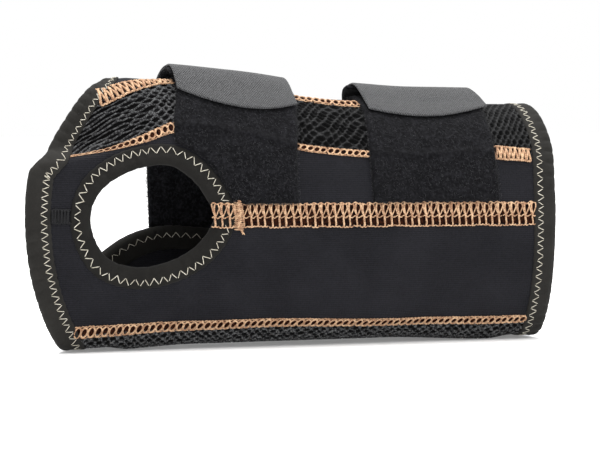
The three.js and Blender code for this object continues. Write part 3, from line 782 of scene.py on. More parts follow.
def meshRelief(x, v, stretched):
    weave = meshWeave
    uneven = 0.16 * np.sin(x / 4.1 + v / 2.7) + 0.13 * np.sin(x / 2.3 - v / 3.9 + 1.0)
    if not stretched:
        return holeDepth(x / weave["pitch"] + uneven * 0.5, v / weave["rowPitch"] + uneven, 1.0,
                         weave["wave"])
    toHand = np.maximum(weave["flowStart"] - x, 0) * weave["stretch"] / weave["pitch"]
    cell = np.maximum(x - weave["flowStart"], 0) / weave["pitch"] - np.log(1 + toHand) / weave["stretch"]
    far = smooth(x, *weave["farFrom"])
    row = (v - meshFlow(x) - 45) / mix(weave["rowPitch"], weave["farRowPitch"], far)
    drawn = smooth(-x, *weave["slitFrom"])  # the holes close to slits towards the hand edge
    forearm = smooth(x, weave["forearmFrom"], weave["forearmTo"])
    cell = cell + np.maximum(x - weave["forearmTo"], 0) * weave["forearmCloser"] / weave["pitch"]
    uneven = uneven * mix(1.0, weave["farUneven"], far) * (1 - 0.6 * forearm)
    return holeDepth(cell + uneven, row + uneven, mix(1.0, weave["slit"], drawn),
                     weave["wave"] * (1 - 0.7 * drawn), mix(1.0, weave["forearmHole"], forearm))


for name, node, low, high, columns, rows, stretched, width in (
        ("topMeshPanel", "top_mesh_panel", wristSeamAt, topSeamAt, 400, 84, True, 0.03),
        ("bottomMeshPanel", "bottom_mesh_panel", backLine, lowerSeamAt, 260, 90, False, 0.047)):
    x, v = fullPanel(low, high, columns, rows)
    rim = np.minimum(smooth(v - low(x), *meshWeave["rim"]), smooth(high(x) - v, *meshWeave["rim"]))
    hollow = meshRelief(x, v, stretched) * rim
    # painted shade: the colour follows the holes' depth, and past the hand's loop band the whole top mesh is
    # darkened further
    shade = hollow
    if stretched:
        shade = np.clip(hollow + meshWeave["farShade"] * smooth(x, *meshWeave["farFrom"]), 0, 1)
    piece = makeShell(name, x, v, meshWeave["rib"] * rim - meshWeave["depth"] * hollow, -shape["mesh"],
                      materials["mesh" if stretched else "baseMeshPaintedLight"], [node], shade)


# Bindings: a folded tape carried along a route
binding = {
    "edgeWidth": 9.4,
    "thumbWidth": 8.0,
    "fold": 2.4,  # radius of the rounded edge, into the panel
    "puff": 0.95,  # how far the rounded fold stands off the panel
    "flatLift": 0.62,  # where the stitches hold it down
    "pucker": 0.2,
    "narrowing": 0.32,  # share of its width that the tape loses up the hand edge's slope
    "crease": 0.65,  # small folds across the rounded edge
    "creasePitch": 4.7,
    "step": 0.7,
    "edgeZigzag": (6.8, 3.0, 3.25),  # middle from the fold, width, pitch
    "innerZigzag": (3.9, 2.1, 4.4),
    "thumbZigzag": (5.6, 2.9, 3.0),
    "threadRadius": 0.15,
    "innerThread": 0.72,
    "seamGap": (-36, -1.6, 7.4),  # no zigzag where the main seam crosses: from x, between two arcs
}


def tapeLift(into, width):  # outer face of a tape: puffed by the fold, flat where it is stitched
    hump = mix(binding["puff"], binding["flatLift"], smooth(into, 2.6, 5.2))
    return hump - 0.35 * smooth(into, width - 0.5, width + 0.2)


def tapeProfile(width):
    # outer leg from the raw edge to the fold, round it, inner leg, then back inside
    fold = binding["fold"]
    leg = np.linspace(width, fold, 12)
    turn = np.linspace(0, np.pi, 9)[1:-1]
    half = shape["neoprene"] / 2
    outer = np.stack([leg, tapeLift(leg, width)], axis=1)
    bend = np.stack([fold - fold * np.sin(turn), -half + (half + binding["puff"]) * np.cos(turn)], axis=1)
    under = outer[::-1] * [1, -1] - [0, shape["neoprene"]]
    core = np.array([(width, -shape["neoprene"] - 0.05), (fold + 0.4, -shape["neoprene"] - 0.25),
                     (1.3, -half), (fold + 0.4, 0.25), (width, 0.05)])
    return np.concatenate([outer, bend, under, core])


def narrowed(route, at, into):
    x, v = onRoute(route, at, 0)
    fold = binding["fold"]
    share = 1 - binding["narrowing"] * smooth(v, 14, 50) * (1 - smooth(v, 74, 82)) * smooth(-x, 30, 50)
    return np.where(into > fold, fold + (into - fold) * share, into)


def makeTape(name, route, width, zigzag, replaced):
    profile = tapeProfile(width)
    steps = int(route["length"] / binding["step"])
    at = np.linspace(0, route["length"], steps, endpoint=False)[:, None]
    into, lift = profile[None, :, 0], profile[None, :, 1]
    middle, spread, pitch = zigzag
    count = round(route["length"] / pitch)
    phase = 2 * np.pi * count * at / route["length"]
    grip = np.exp(-((into - middle) / (spread * 0.6))**2)
    outside = np.where(lift > -shape["neoprene"] / 2, 1.0, -1.0)
    lift = lift + outside * binding["pucker"] * grip * np.cos(2 * phase)
    # creases: narrow valleys, unevenly spaced and deep, only over the rounded edge
    lap = 2 * np.pi * at / route["length"]
    turn = np.pi * round(route["length"] / binding["creasePitch"]) * at / route["length"]
    crease = np.abs(np.sin(turn + 0.9 * np.sin(7 * lap)))**9
    crease = crease * (0.6 + 0.4 * np.sin(11 * lap + 1.7)) * (1 - smooth(into, 3.2, 5.4))
    lift = lift - outside * binding["crease"] * crease * smooth(into, 0.2, 1.6)
    into = into + 0.35 * binding["crease"] * crease * (1 - smooth(into, 0.6, 2.0))
    into = into + 0.12 * np.where(into > width - 0.3, np.cos(phase + 0.7), 0)
    x, v = onRoute(route, at + into * 0, narrowed(route, at, into))
    points = wrap(x, v, lift).reshape(-1, 3)
    faces = gridFaces(steps, len(profile), 0, True, True)[:, ::-1]
    around = np.cumsum(np.concatenate([[0], np.hypot(*np.diff(profile, axis=0).T)]))
    cloth = np.stack(np.broadcast_arrays(at, around[None, :]), axis=-1).reshape(-1, 2)
    material = materials["tape" if name == "edgeBinding" else "thumbTape"]
    return makePiece(name, points, faces, cloth, material, replaced)


# Strands: tubes whose centre lines are given on the brace, many at once as rows of an array
def strandMesh(x, v, lift, radius, sides=6):
    x, v, lift, radius = np.broadcast_arrays(x, v, lift, radius)
    centre, normal = wrap(x, v, lift), normalAt(x, v)
    along = np.gradient(centre, axis=1)
    along /= np.maximum(np.linalg.norm(along, axis=-1, keepdims=True), 1e-9)
    side = np.cross(along, normal)
    side /= np.maximum(np.linalg.norm(side, axis=-1, keepdims=True), 1e-9)
    up = np.cross(side, along)
    angle = np.linspace(0, 2 * np.pi, sides, endpoint=False)
    wide = np.cos(angle)[None, None, :, None] * side[:, :, None]
    high = np.sin(angle)[None, None, :, None] * up[:, :, None]
    ring = centre[:, :, None] + radius[:, :, None, None] * (wide + high)
    count, steps = x.shape
    faces = np.concatenate([gridFaces(steps, sides, k * steps * sides, False, True) for k in range(count)])
    firstRing = np.arange(sides)[None, :] + (np.arange(count) * steps * sides)[:, None]
    caps = np.concatenate([firstRing[:, ::-1], firstRing + (steps - 1) * sides])
    run = np.cumsum(np.concatenate([np.zeros((count, 1)), np.linalg.norm(np.diff(centre, axis=1), axis=-1)],
                                   axis=1), axis=1)
    cloth = np.stack(np.broadcast_arrays(run[:, :, None], (angle / 2 / np.pi)[None, None, :]), axis=-1)
    return ring.reshape(-1, 3), faces, caps, cloth.reshape(-1, 2)


def makeStrands(name, sets, material):  # several sets of strands as one piece
    points, faces, caps, cloth, start = [], [], [], [], 0
    for made in sets:
        points.append(made[0])
        faces.append(made[1] + start)
        caps.append(made[2] + start)
        cloth.append(made[3])
        start += len(made[0])
    # the tube's grid runs along then round, so its faces are turned to point out
    allFaces = np.concatenate(faces)[:, ::-1]
    allCaps = [cap[::-1] for group in caps for cap in group]
    return makePiece(name, np.concatenate(points), allFaces, np.concatenate(cloth), material, (),
                     None, allCaps)


def zigzagStrands(route, zigzag, liftAt, seed, inside=False, gap=None):
    # legs that go from one side of the stitch row to the other, dipping into the tape at both ends
    middle, spread, pitch = zigzag
    draw = np.random.default_rng(seed)
    count = 2 * round(route["length"] / pitch)
    order = np.arange(count + 1)
    at = order * route["length"] / count + draw.uniform(-0.14, 0.14, count + 1)
    into = middle + np.where(order % 2 == 0, 0.5, -0.5) * spread + draw.uniform(-0.16, 0.16, count + 1)
    at[-1], into[-1] = at[0] + route["length"], into[0]
    t = np.array([[0, 0.1, 0.3, 0.7, 0.9, 1]])
    s, across = mix(at[:-1, None], at[1:, None], t), mix(into[:-1, None], into[1:, None], t)
    x, v = onRoute(route, s, narrowed(route, s, across))
    if gap is not None:  # left out where another seam crosses
        keep = (x[:, 2] < gap[0]) | (v[:, 2] < gap[1]) | (v[:, 2] > gap[2])
        x, v, across = x[keep], v[keep], across[keep]
    arch = liftAt(across) + binding["threadRadius"] * (2.6 * np.sin(np.pi * t)**0.6 - 1.9)
    if inside:
        return strandMesh(x, v, -shape["neoprene"] - arch, binding["threadRadius"] * binding["innerThread"])
    return strandMesh(x, v, arch, binding["threadRadius"])


for name, route, width, zigzag, nodes, seed in (
        ("edgeBinding", edge, binding["edgeWidth"], binding["edgeZigzag"],
         ["hand_binding", "forearm_binding", "upper_flap_binding", "lower_flap_binding"], 4),
        ("thumbBinding", thumb, binding["thumbWidth"], binding["thumbZigzag"], ["thumb_binding"], 9)):
    piece = makeTape(name, route, width, zigzag, nodes)
    ring = np.pi * width if name == "thumbBinding" else 0  # a ring's middle line is longer than its inner one
    2 * width * millimetre
    (route["length"] + ring) * millimetre
    hold = lambda into, width=width: tapeLift(into, width)
    gap = binding["seamGap"] if name == "thumbBinding" else None
    inner = binding["innerZigzag"] if name == "edgeBinding" else zigzag
    makeStrands(name.replace("Binding", "Zigzag"), [zigzagStrands(route, zigzag, hold, seed, False, gap),
                                                     zigzagStrands(route, inner, hold, seed + 1, True)],
                materials["creamThread"])


def bothSides(radius, stops):  # a strand along the low side of a seam, and the same along its high side
    return [(radius, [(along, -across, lift) for along, across, lift in stops]), (radius, stops)]


# Flatlock seams. Each strand of a cell: its radius, then stops of along (share of the pitch),
# across (share of the half width, + is up) and lift in radii.
seamPatterns = {
    "ladder": [
        (0.25, [(0.0, 0.95, 1.0), (0.25, 1.0, 1.5), (0.5, 0.94, 1.1), (0.75, 0.88, 0.9), (1.0, 0.95, 1.0)]),
        (0.38, [(0.42, 0.94, 0.8), (0.28, 0.66, 1.8), (0.3, 0.32, 2.0), (0.44, 0.04, 1.5),
                (0.5, -0.14, 0.8)]),
        (0.24, [(0.52, -0.1, 1.6), (0.72, 0.16, 2.8), (0.95, 0.5, 3.2), (1.2, 0.82, 2.4),
                (1.36, 0.95, 0.8)]),
        (0.26, [(0.5, -0.1, 1.4), (0.22, 0.2, 2.6), (0.06, 0.5, 2.8), (-0.08, 0.93, 0.8)]),
        (0.22, [(0.0, -0.18, 1.0), (0.25, -0.08, 2.2), (0.5, -0.14, 3.0), (0.75, -0.24, 2.2),
                (1.0, -0.18, 1.0)]),
        (0.38, [(0.5, -0.04, 0.8), (0.45, -0.3, 1.6), (0.49, -0.56, 1.8), (0.55, -0.8, 1.5),
                (0.5, -0.97, 0.6)]),
        (0.25, [(0.0, -0.93, 0.9), (0.25, -1.0, 1.4), (0.5, -0.95, 1.8), (0.75, -1.0, 1.4),
                (1.0, -0.93, 0.9)]),
    ],
    "web": [
        (0.42, [(-0.12, -0.92, 0.7), (-0.2, -0.4, 1.5), (-0.06, 0.3, 1.9), (0.1, 0.92, 0.8)]),
        (0.42, [(0.22, -0.92, 0.7), (0.1, -0.35, 1.5), (0.08, 0.3, 1.6), (-0.1, 0.92, 0.8)]),
        *bothSides(0.34, [(0.0, 0.9, 0.8), (0.25, 1.0, 1.3), (0.5, 0.84, 1.7), (0.75, 1.0, 1.3),
                          (1.0, 0.9, 0.8)]),
    ],
    "chain": [
        (0.34, [(1.0, 0.0, 1.0), (0.94, 0.52, 1.6), (0.64, 0.82, 1.4), (0.26, 0.58, 1.2), (0.02, 0.0, 1.0),
                (0.06, -0.55, 1.5), (0.36, -0.82, 1.5), (0.74, -0.56, 1.2), (1.0, 0.0, 1.0)]),
        *bothSides(0.19, [(0.0, 0.8, 0.8), (0.25, 0.98, 1.3), (0.5, 0.9, 1.7), (0.75, 0.98, 1.3),
                          (1.0, 0.8, 0.8)]),
        (0.24, [(0.86, -0.5, 1.0), (1.0, -0.1, 2.6), (1.14, 0.5, 1.0)]),
    ],
    "net": [
        (0.46, [(0.02, -0.9, 0.7), (0.12, -0.45, 1.4), (0.36, 0.35, 1.7), (0.5, 0.9, 0.8)]),
        (0.46, [(0.52, 0.9, 0.7), (0.62, 0.45, 1.3), (0.86, -0.35, 1.5), (1.0, -0.9, 0.8)]),
        (0.26, [(0.3, 0.8, 1.6), (0.5, 0.45, 2.5), (0.72, 0.8, 1.6)]),
        (0.26, [(-0.2, -0.8, 1.6), (0.0, -0.45, 2.5), (0.22, -0.8, 1.6)]),
        *bothSides(0.36, [(0.0, 0.9, 0.8), (0.25, 1.0, 1.3), (0.5, 0.9, 1.7), (0.75, 1.0, 1.3),
                          (1.0, 0.9, 0.8)]),
    ],
}


def seamStrands(route, pattern, widths, pitch, liftAt, seed):
    # the pattern's cell set down once a pitch along the route, with small seeded differences
    draw = np.random.default_rng(seed)
    count = max(int(round(route["length"] / pitch)), 1)
    pitch = route["length"] / count
    cell = np.arange(count)[:, None]
    widths = np.array(widths)
    slip = draw.uniform(-0.07, 0.07, (count, 1))
    sets = []
    for radius, stops in seamPatterns[pattern]:
        rows = np.column_stack([np.linspace(0, 1, len(stops)), stops])
        along, across, lift = (follow(rows, np.linspace(0, 1, 2 * len(stops) - 1), k) for k in (1, 2, 3))
        at = (cell + along[None, :] + slip + draw.uniform(-0.04, 0.04, (count, 1))) * pitch
        at = np.clip(at, 0, route["length"])
        half = np.interp(onRoute(route, at, 0)[0], widths[:, 0], widths[:, 1])
        x, v = onRoute(route, at, -across[None, :] * half * (1 + draw.uniform(-0.06, 0.06, (count, 1))))
        thick = radius * np.clip(half / 1.6, 0.45, 1) * (1 + draw.uniform(-0.14, 0.14, (count, 1)))
        sets.append(strandMesh(x, v, liftAt(x, v) + lift[None, :] * thick * 0.8, thick))
    return sets


def lineRoute(start, end, line):
    x = np.linspace(start, end, 400)
    return makeRoute(x, line(x) + x * 0, False)


def overThumbTape(x, v):  # lift of the thumb binding's face where a seam runs over it
    holeX, holeV = onRoute(thumb, thumb["at"], 0)
    distance = np.min(np.hypot(x[..., None] - holeX[::4], v[..., None] - holeV[::4]), axis=-1)
    return 0.1 + 0.75 * (1 - smooth(distance, binding["thumbWidth"] - 1.0, binding["thumbWidth"] + 0.6))


plainLift = lambda x, v: x * 0 + 0.05
mainLine = lambda x: 2.9 - 0.0075 * (x + 23)
seamPlan = {
    # start, end, line, pattern, half width along x, pitch, lift, seed, thread
    "mainSeam": (-34.2, 96, mainLine, "ladder", [(0, 4.5)], 2.8, overThumbTape, 21, "tanThread"),
    "lowerSeam": (-84.5, 96, lowerSeamAt, "chain", [(-84, 2.5), (0, 2.0), (96, 1.7)],
                  2.6, plainLift, 22, "tanThread"),
    "meshLowSeam": (-94, 33, wristSeamAt, "chain",
                    [(-94, 0.3), (-80, 0.35), (-72, 0.7), (-60, 1.45), (-47, 2.0), (0, 1.35), (33, 1.35)],
                    2.6, plainLift, 23, "tanThread"),
    "forearmMeshSeam": (74, 96, wristSeamAt, "net", [(0, 2.6)], 1.9, plainLift, 27, "tanThread"),
    "handTopSeam": (-73.3, -38, topSeamAt, "net", [(-75, 3.3), (-58, 2.9), (-48, 2.1)],
                    2.5, plainLift, 28, "tanThread"),
    "meshTopSeam": (0, 96, topSeamAt, "chain", [(0, 2.7)], 2.6, plainLift, 24, "tanThread"),
    "backSeam": (-45, 96, backLine, "chain", [(0, 2.3)], 2.6, plainLift, 25, "tanThread"),
    "handSeam": (-94.3, -87.4, mainLine, "web", [(0, 2.5)], 1.1, overThumbTape, 26, "blackThread"),
}


def makeBed(name, start, end, line, widths):  # painted shade: a dark sheet in the gap the two cloths leave under a seam's thread, over the dark cut edges that lie there
    x, across = np.linspace(start, end, int((end - start) / 0.8))[None, :], np.linspace(-1, 1, 7)[:, None]
    half = np.interp(x, *np.array(widths).T) * seams["bedShare"]
    makeShell(name, x + across * 0, line(x) + across * half, 0.03 + 0.16 * (1 - across**2) + x * 0, -0.12,
              materials["seamBed"], ())


for name, (start, end, line, pattern, widths, pitch, lift, seed, thread) in seamPlan.items():
    if thread == "tanThread":
        bedStart = seams["bedStart"] if name == "mainSeam" else start
        makeBed(f"{name}Bed", bedStart, end, line, widths)
    makeStrands(name, seamStrands(lineRoute(start, end, line), pattern, widths, pitch, lift, seed),
                materials[thread])


barTack = {
    "place": -23.6,
    "width": 3.5,
    "from": -2.6,
    "to": 8.4,
    "legs": 27,
    "radius": 0.23,
    "tail": 1.7,
    "tailRadius": 0.2,
    "layers": (1.0, 0.72),  # shares of the width
}


def makeBarTack():  # two layers of tight zigzag over the end of the main seam, and a loose thread end
    draw = np.random.default_rng(31)
    sets = []
    t = np.linspace(0, 1, 7)[None, :]
    for layer, width in enumerate(barTack["layers"]):
        order = np.arange(barTack["legs"] + 1)
        v = np.linspace(barTack["from"], barTack["to"], len(order)) + draw.uniform(-0.12, 0.12, len(order))
        side = np.where(order % 2 == 0, 0.5, -0.5) * barTack["width"] * width
        x = barTack["place"] + side + draw.uniform(-0.2, 0.2, len(order))
        legX, legV = mix(x[:-1, None], x[1:, None], t), mix(v[:-1, None], v[1:, None], t)
        rise = 1.05 + 0.35 * layer + 0.35 * np.sin(np.pi * t) - 0.6 * (1 - np.sin(np.pi * t))
        sets.append(strandMesh(legX, legV, rise, barTack["radius"]))
    t = np.linspace(0, 1, 14)[None, :]
    for turn in (0, 2.4):
        tailX = barTack["place"] + 1.0 + 0.9 * t + 0.35 * np.sin(9 * t + turn)
        tailV, tailRise = barTack["from"] - barTack["tail"] * t, 0.5 + 0.2 * np.cos(8 * t + turn)
        sets.append(strandMesh(tailX, tailV, tailRise, barTack["tailRadius"]))
    makeStrands("barTack", sets, materials["tanThread"])


makeBarTack()

# Closures
closures = {
    # band sides: place at the foot, place at the head, and the arc over which they change
    # tabs: end is the free end, lowest at the share low, shifted by swing and spread by flare
    # straps: drift is the shift down to the sewn end, ridgeShift the one over the brace's top
    "hand": {"leftSide": (-46.6, -42.0, 34, 58), "rightSide": (-0.5, 5.1, 14, 60), "width": 46.5,
             "strapLeft": -44, "swing": 1.2, "flare": 0, "low": 0.65, "drift": 1.7, "end": 43.5, "arch": 3.2,
             "ridgeShift": 0},
    "forearm": {"leftSide": (29.0, 31.0, 22, 48), "rightSide": (81.0, 81.5, 22, 48), "width": 51,
                "strapLeft": 28.6, "swing": 6.4, "flare": 5, "low": 0.42, "drift": 0, "end": 41, "arch": 3.5,
                "ridgeShift": 7.5},
    "strapWidth": 46.5,
    "strapFlat": 88,  # lengths laid flat: the cloth lies outside the skin, so they are more than its arc
    "strapEndFlat": 24,
    "tabFlat": 53,
    "bandFoot": 7.3,
    "bandHead": 80.2,
    "bandRounding": (73, 1.6),  # length, radius at the edges
    "bandThickness": 1.4,
    "strapThickness": 2.0,
    "hookThickness": 1.0,
    "strapHead": 80,
    "strapEnd": 59,
    "strapEndThickness": 1.7,
    "strapRounding": (80, 0.9),
    "strapEndRounding": (20, 0.8),
    "hookRounding": 0.5,
    "strapEdge": 0.25,  # share of the thickness left at the edges
    "hookEdge": 0.3,
    "overTape": 2.0,  # room under the strap over the lower flap's binding, and past it
    "overPanel": 0.4,
    "strapLap": 35,
    "bandFibres": 1800,
    "strapFibres": 600,
    "edgeFibres": 750,
    "fibreRadius": 0.055,
    "faceFibre": (0.9, 0.35),  # reach, rise
    "bandEdgeFibre": (0.75, 0.2),
    "strapEdgeFibre": (0.8, 0.25),
    "strapDash": (2.4, 1.1),  # stitch, gap
    "tabDash": (2.0, 1.0),
    "dashRadius": 0.17,
    "tabRound": 20,
    "tabLength": 46,
    "tabArch": [(0.0, 0.0), (0.18, 0.06), (0.28, 0.5), (0.38, 1.0), (0.5, 0.9), (0.64, 0.8), (0.78, 0.78),
                (1.0, 0.78)],
}
bandTop = 0.4 + closures["bandThickness"]


def edgeRounding(s, width, radius):  # share of a cloth's full height, a quarter circle at both edges
    toEdge = np.minimum(s, 1 - s) * width
    return np.sqrt(np.maximum(1 - (1 - np.clip(toEdge / radius, 0, 1))**2, 0))


def allRounded(s, t, width, length, radius):  # the same at all four edges
    return np.minimum(edgeRounding(s, width, radius), edgeRounding(t, length, radius))


def evenShares(count, crowd=0.35):  # shares from 0 to 1, closer together at both ends
    t = np.linspace(0, 1, count)
    return t - crowd * np.sin(2 * np.pi * t) / (2 * np.pi)


def ringSide(v):  # how far the thumb binding reaches to the forearm side at each height
    x, side = onRoute(thumb, thumb["at"][:-1], binding["thumbWidth"] + 0.4)
    heights = np.arange(-30, 60, 0.5)
    atHeight = np.abs(side[None, :] - heights[:, None]) < 0.6
    return np.interp(v, heights, np.where(atHeight, x[None, :], -999).max(axis=1))


def bandPlace(key, s, t):  # x, v and full height (0 at the edges, 1 inside) for shares across and up
    plan = closures[key]
    v = mix(closures["bandFoot"], closures["bandHead"], t)
    (footLeft, headLeft, *leftTurn), (footRight, headRight, *rightTurn) = plan["leftSide"], plan["rightSide"]
    left = np.maximum(mix(footLeft, headLeft, smooth(v, *leftTurn)), ringSide(v))
    x = mix(left, mix(footRight, headRight, smooth(v, *rightTurn)), s)
    full = allRounded(s, t, plan["width"], *closures["bandRounding"])
    return x, v + x * 0, full


def makeBand(key):
    x, v, full = bandPlace(key, evenShares(72)[None, :], evenShares(120)[:, None])
    pile = 0.10 * np.sin(x * 2.9 + 1.3 * np.sin(v * 1.7)) * np.sin(v * 2.3 + 1.1 * np.sin(x * 1.9))
    ridge = 0.5 * np.exp(-((v - wristSeamAt(x)) / 1.5)**2)  # the mesh's seam underneath
    outer = mix(0.55, bandTop, full) + (pile + ridge) * full
    piece = makeShell(f"{key}LoopBand", x, v, outer, 0.12, materials["loop"], [f"{key}_loop_band"])


def fibreLoops(x, v, lift, heading, reach, rise, draw):
    # small loops of fibre: each leaves the cloth, rises and bends back down along its heading
    reach = reach * draw.uniform(0.4, 1.3, len(x))[:, None]
    rise = rise * draw.uniform(0.3, 1.2, len(x))[:, None]
    t = np.linspace(0, 1, 4)[None, :]
    turned = heading[:, None] + t * draw.uniform(-1.2, 1.2, len(x))[:, None]
    return strandMesh(x[:, None] + np.cos(turned) * reach * t, v[:, None] + np.sin(turned) * reach * t,
                      lift[:, None] + rise * np.sin(0.9 * np.pi * t), closures["fibreRadius"], sides=3)


def makeBandFibres(key, seed):
    draw = np.random.default_rng(seed)
    count, edgeCount = closures["bandFibres"], closures["edgeFibres"]
    s, t = draw.uniform(0.01, 0.99, count), draw.uniform(0.01, 0.99, count)
    x, v, full = bandPlace(key, s, t)
    heading = draw.uniform(0, 2 * np.pi, count)
    body = fibreLoops(x, v, mix(0.5, bandTop - 0.05, full), heading, *closures["faceFibre"], draw)
    side = draw.integers(0, 4, edgeCount)  # left, right, foot, head
    along = draw.uniform(0, 1, edgeCount)
    s = np.choose(side, [along * 0, along * 0 + 1, along, along])
    t = np.choose(side, [along, along, along * 0, along * 0 + 1])
    x, v, full = bandPlace(key, s, t)
    heading = np.choose(side, [np.pi, 0.0, -np.pi / 2, np.pi / 2]) + draw.uniform(-0.9, 0.9, edgeCount)
    rim = fibreLoops(x, v, draw.uniform(0.3, 1.5, edgeCount), heading, *closures["bandEdgeFibre"], draw)
    makeStrands(f"{key}BandFibres", [body, rim], materials["fibre"])


def archAt(v, plan):  # height of a closed tab over its band
    back = np.clip((v - plan["end"]) / closures["tabLength"], 0, 1)
    return plan["arch"] * follow(closures["tabArch"], back)


def matted(x, v):  # small lumps of the straps' pile
    return 0.06 * np.sin(x * 3.1 + 1.2 * np.sin(v * 1.9)) * np.sin(v * 2.7 + np.sin(x * 2.1))


def onRidge(v):  # share of the shift that the forearm strap makes over the brace's top
    return smooth(v, 58, 84)


def strapPlace(key, s, t):  # x, v, inner lift for shares across and along the strap
    plan = closures[key]
    straight = plan["strapLeft"] + closures["strapWidth"] * s + t * 0
    lapStart = np.interp(straight, skin["x"], skin["girth"]) - shape["lowerReach"]
    lapMiddle = np.interp(plan["strapLeft"] + closures["strapWidth"] / 2, skin["x"], skin["girth"])
    v = mix(closures["strapHead"], lapStart + closures["strapLap"], t)
    x = (straight + plan["drift"] * smooth(v, shape["upperReach"], lapMiddle - shape["lowerReach"])
         + plan["ridgeShift"] * onRidge(v))
    past = v - lapStart
    headRise = archAt(np.array(closures["strapHead"]), plan) - closures["strapThickness"] - 0.4
    overBand = bandTop + 0.4 + headRise * (1 - smooth(v, closures["strapHead"], shape["upperReach"]))
    overTape, tape = closures["overTape"], binding["edgeWidth"]
    inner = np.where(past < 0, mix(overBand, overTape, smooth(past, -tape, 0)),
                     mix(overTape, closures["overPanel"], smooth(past, tape, 2 * tape)))
    return x, v, inner


def makeStrap(key):
    s, t = evenShares(48)[None, :], evenShares(120, 0.2)[:, None]
    x, v, inner = strapPlace(key, s, t)
    half = closures["strapThickness"] / 2
    full = allRounded(s, t, closures["strapWidth"], *closures["strapRounding"])
    middle, edge = inner + half, half * mix(closures["strapEdge"], 1.0, full)
    piece = makeShell(f"{key}Strap", x, v, middle + edge + matted(x, v), middle - edge, materials["strap"],
                      [f"{key}_strap"])


def makeStrapEnd(key):  # the strap's end, sewn under the arched tab
    s, t = evenShares(40)[None, :], evenShares(26)[:, None]
    plan = closures[key]
    v = mix(closures["strapEnd"], closures["strapHead"] - 0.4, t)
    x = plan["strapLeft"] + closures["strapWidth"] * s + plan["ridgeShift"] * onRidge(v)
    x, v = np.broadcast_arrays(x, v)
    full = mix(closures["strapEdge"], 1.0,
               allRounded(s, t, closures["strapWidth"], *closures["strapEndRounding"]))
    half = closures["strapEndThickness"] / 2
    middle = bandTop + 0.45 + archAt(v, plan) - half
    piece = makeShell(f"{key}StrapEnd", x, v, middle + half * full + matted(x, v) * full,
                      middle - half * full, materials["strap"], ())


def makeStrapFibres(key, seed):  # fibres off both faces and all along the two long edges
    draw = np.random.default_rng(seed)
    count, edgeCount = closures["strapFibres"], closures["edgeFibres"]
    s, t = draw.uniform(0.02, 0.98, count), draw.uniform(0.02, 0.98, count)
    x, v, inner = strapPlace(key, s, t)
    face = inner + closures["strapThickness"] - 0.1
    body = fibreLoops(x, v, face, draw.uniform(0, 2 * np.pi, count), *closures["faceFibre"], draw)
    s, t = draw.integers(0, 2, edgeCount).astype(float), draw.uniform(0, 0.98, edgeCount)
    x, v, inner = strapPlace(key, s, t)
    heading = np.where(s < 0.5, np.pi, 0) + draw.uniform(-0.9, 0.9, edgeCount)
    side = inner + closures["strapThickness"] * draw.uniform(0.2, 0.8, edgeCount)
    rim = fibreLoops(x, v, side, heading, *closures["strapEdgeFibre"], draw)
    makeStrands(f"{key}StrapFibres", [body, rim], materials["fibre"])


def dashes(x, v, lift, long, space):  # running stitch along a path of places
    run = np.concatenate([[0], np.cumsum(np.hypot(np.diff(x), np.diff(v)))])
    count = int(run[-1] / (long + space))
    t = np.linspace(0, 1, 6)[None, :]
    at = (np.arange(count)[:, None] + 0.2) * run[-1] / count + long * t
    place = [np.interp(at, run, values) for values in (x, v, lift)]
    return strandMesh(place[0], place[1], place[2] + 0.16 * np.sin(np.pi * t) - 0.05,
                      closures["dashRadius"])


def makeStitches(key):  # the strap's box and cross on the lower flap, the rows that hold the tab's tail
    sets = []
    for corners in ([(0.07, 0.72), (0.93, 0.72), (0.93, 0.965), (0.07, 0.965), (0.07, 0.72)],
                    [(0.07, 0.72), (0.93, 0.965)], [(0.93, 0.72), (0.07, 0.965)]):
        corners = np.array(corners)
        steps = np.linspace(0, len(corners) - 1, 60 * (len(corners) - 1))
        s, t = (np.interp(steps, np.arange(len(corners)), corners[:, k]) for k in (0, 1))
        x, v, inner = strapPlace(key, s, t)
        sets.append(dashes(x, v, inner + closures["strapThickness"] + 0.1, *closures["strapDash"]))
    for t in (0.9, 0.95):
        s = np.linspace(0.04, 0.96, 60)
        x, v, middle = tabPlace(key, s, s * 0 + t)
        sets.append(dashes(x, v, middle + closures["hookThickness"] / 2 + 0.05, *closures["tabDash"]))
    makeStrands(f"{key}Stitches", sets, materials["blackThread"])


def tabPlace(key, s, t):  # x, v and middle lift for shares across and back from the free end
    plan = closures[key]
    end = plan["end"] + closures["tabRound"] * (s - plan["low"])**2
    v = mix(end, plan["end"] + closures["tabLength"], t)
    towards = 1 - smooth(v, closures["hand"]["end"], closures["strapHead"])
    x = (plan["strapLeft"] + closures["strapWidth"] * s + plan["swing"] * towards
         + plan["flare"] * towards * (s - 0.5) + plan["ridgeShift"] * onRidge(v))
    return x, v, bandTop + 0.55 + closures["hookThickness"] / 2 + archAt(v, plan)


def makeTab(key):
    s, t = evenShares(52)[None, :], evenShares(70)[:, None]
    x, v, middle = tabPlace(key, s, t)
    full = allRounded(s, t, closures["strapWidth"], closures["tabLength"], closures["hookRounding"])
    half = closures["hookThickness"] / 2 * mix(closures["hookEdge"], 1.0, full)
    piece = makeShell(f"{key}HookTab", x, v, middle + half, middle - half, materials["hook"],
                      [f"{key}_hook_tab"])


for seed, key in ((41, "hand"), (51, "forearm")):
    makeBand(key)
    makeBandFibres(key, seed)
    makeStrap(key)
    makeStrapEnd(key)
    makeStrapFibres(key, seed + 1)
    makeTab(key)
    makeStitches(key)

# Camera, floor and light
studio = {
    "turn": -20,
    "height": 3,
    "distance": 1.0,
    "target": (0, -0.028, 0.047),
    "lens": 159.6,
    "sensor": 36,
    "floorHalf": 4,
    "floorColour": (0.86, 0.86, 0.86, 1),
    "floorGlow": 0.2,  # keeps the pale floor even out to the horizon
    "aim": (0, 0, 0.05),
    "lights": {  # place, size, power
        "keyLight": ((-0.5, -1.1, 1.5), 0.9, 10),
        "topLight": ((0.1, 0.1, 1.6), 1.2, 40),
        "sideLight": ((1.4, -0.6, 0.8), 0.8, 4),
    },
}
white = (1, 1, 1, 1)


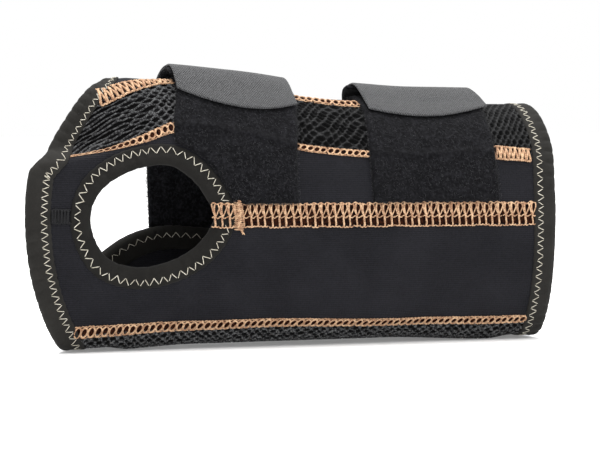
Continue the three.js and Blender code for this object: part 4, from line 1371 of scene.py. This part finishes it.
def makeCamera():
    turn, height = math.radians(studio["turn"]), math.radians(studio["height"])
    back = np.array([math.sin(turn) * math.cos(height), -math.cos(turn) * math.cos(height), math.sin(height)])
    camera = bpy.data.objects.new("camera", bpy.data.cameras.new("camera"))
    camera.location = np.array(studio["target"]) + back * studio["distance"]
    camera.rotation_euler = (math.pi / 2 - height, 0, turn)
    camera.data.sensor_width = studio["sensor"]
    camera.data.lens = studio["lens"]
    camera.data.clip_start, camera.data.clip_end = 0.01, 20
    bpy.context.scene.collection.objects.link(camera)
    bpy.context.scene.camera = camera


def makeFloor():
    half = studio["floorHalf"]
    corners = [(-half, -half, 0), (half, -half, 0), (half, half, 0), (-half, half, 0)]
    mesh = bpy.data.meshes.new("floor")
    mesh.from_pydata(corners, [], [(0, 1, 2, 3)])
    floor = bpy.data.objects.new("floor", mesh)
    bpy.context.scene.collection.objects.link(floor)
    material = bpy.data.materials.new("floorWhite")
    material.use_nodes = True
    shader = material.node_tree.nodes["Principled BSDF"]
    shader.inputs["Base Color"].default_value = studio["floorColour"]
    shader.inputs["Emission Color"].default_value = white
    shader.inputs["Emission Strength"].default_value = studio["floorGlow"]
    shader.inputs["Roughness"].default_value = 0.8
    mesh.materials.append(material)


def makeLights():
    world = bpy.data.worlds.new("studio")
    world.use_nodes = True
    world.node_tree.nodes["Background"].inputs["Color"].default_value = white
    world.node_tree.nodes["Background"].inputs["Strength"].default_value = 1.0
    bpy.context.scene.world = world
    bpy.context.scene.view_settings.view_transform = "Standard"
    for name, (place, size, power) in studio["lights"].items():
        light = bpy.data.lights.new(name, "AREA")
        light.size, light.energy = size, power
        lamp = bpy.data.objects.new(name, light)
        lamp.location = place
        direction = np.array(studio["aim"]) - np.array(place)
        lamp.rotation_euler = (math.acos(-direction[2] / np.linalg.norm(direction)), 0,
                               math.atan2(direction[1], direction[0]) - math.pi / 2)
        bpy.context.scene.collection.objects.link(lamp)


makeCamera()
makeFloor()
makeLights()
print("studio ready")

bpy.context.view_layer.update()
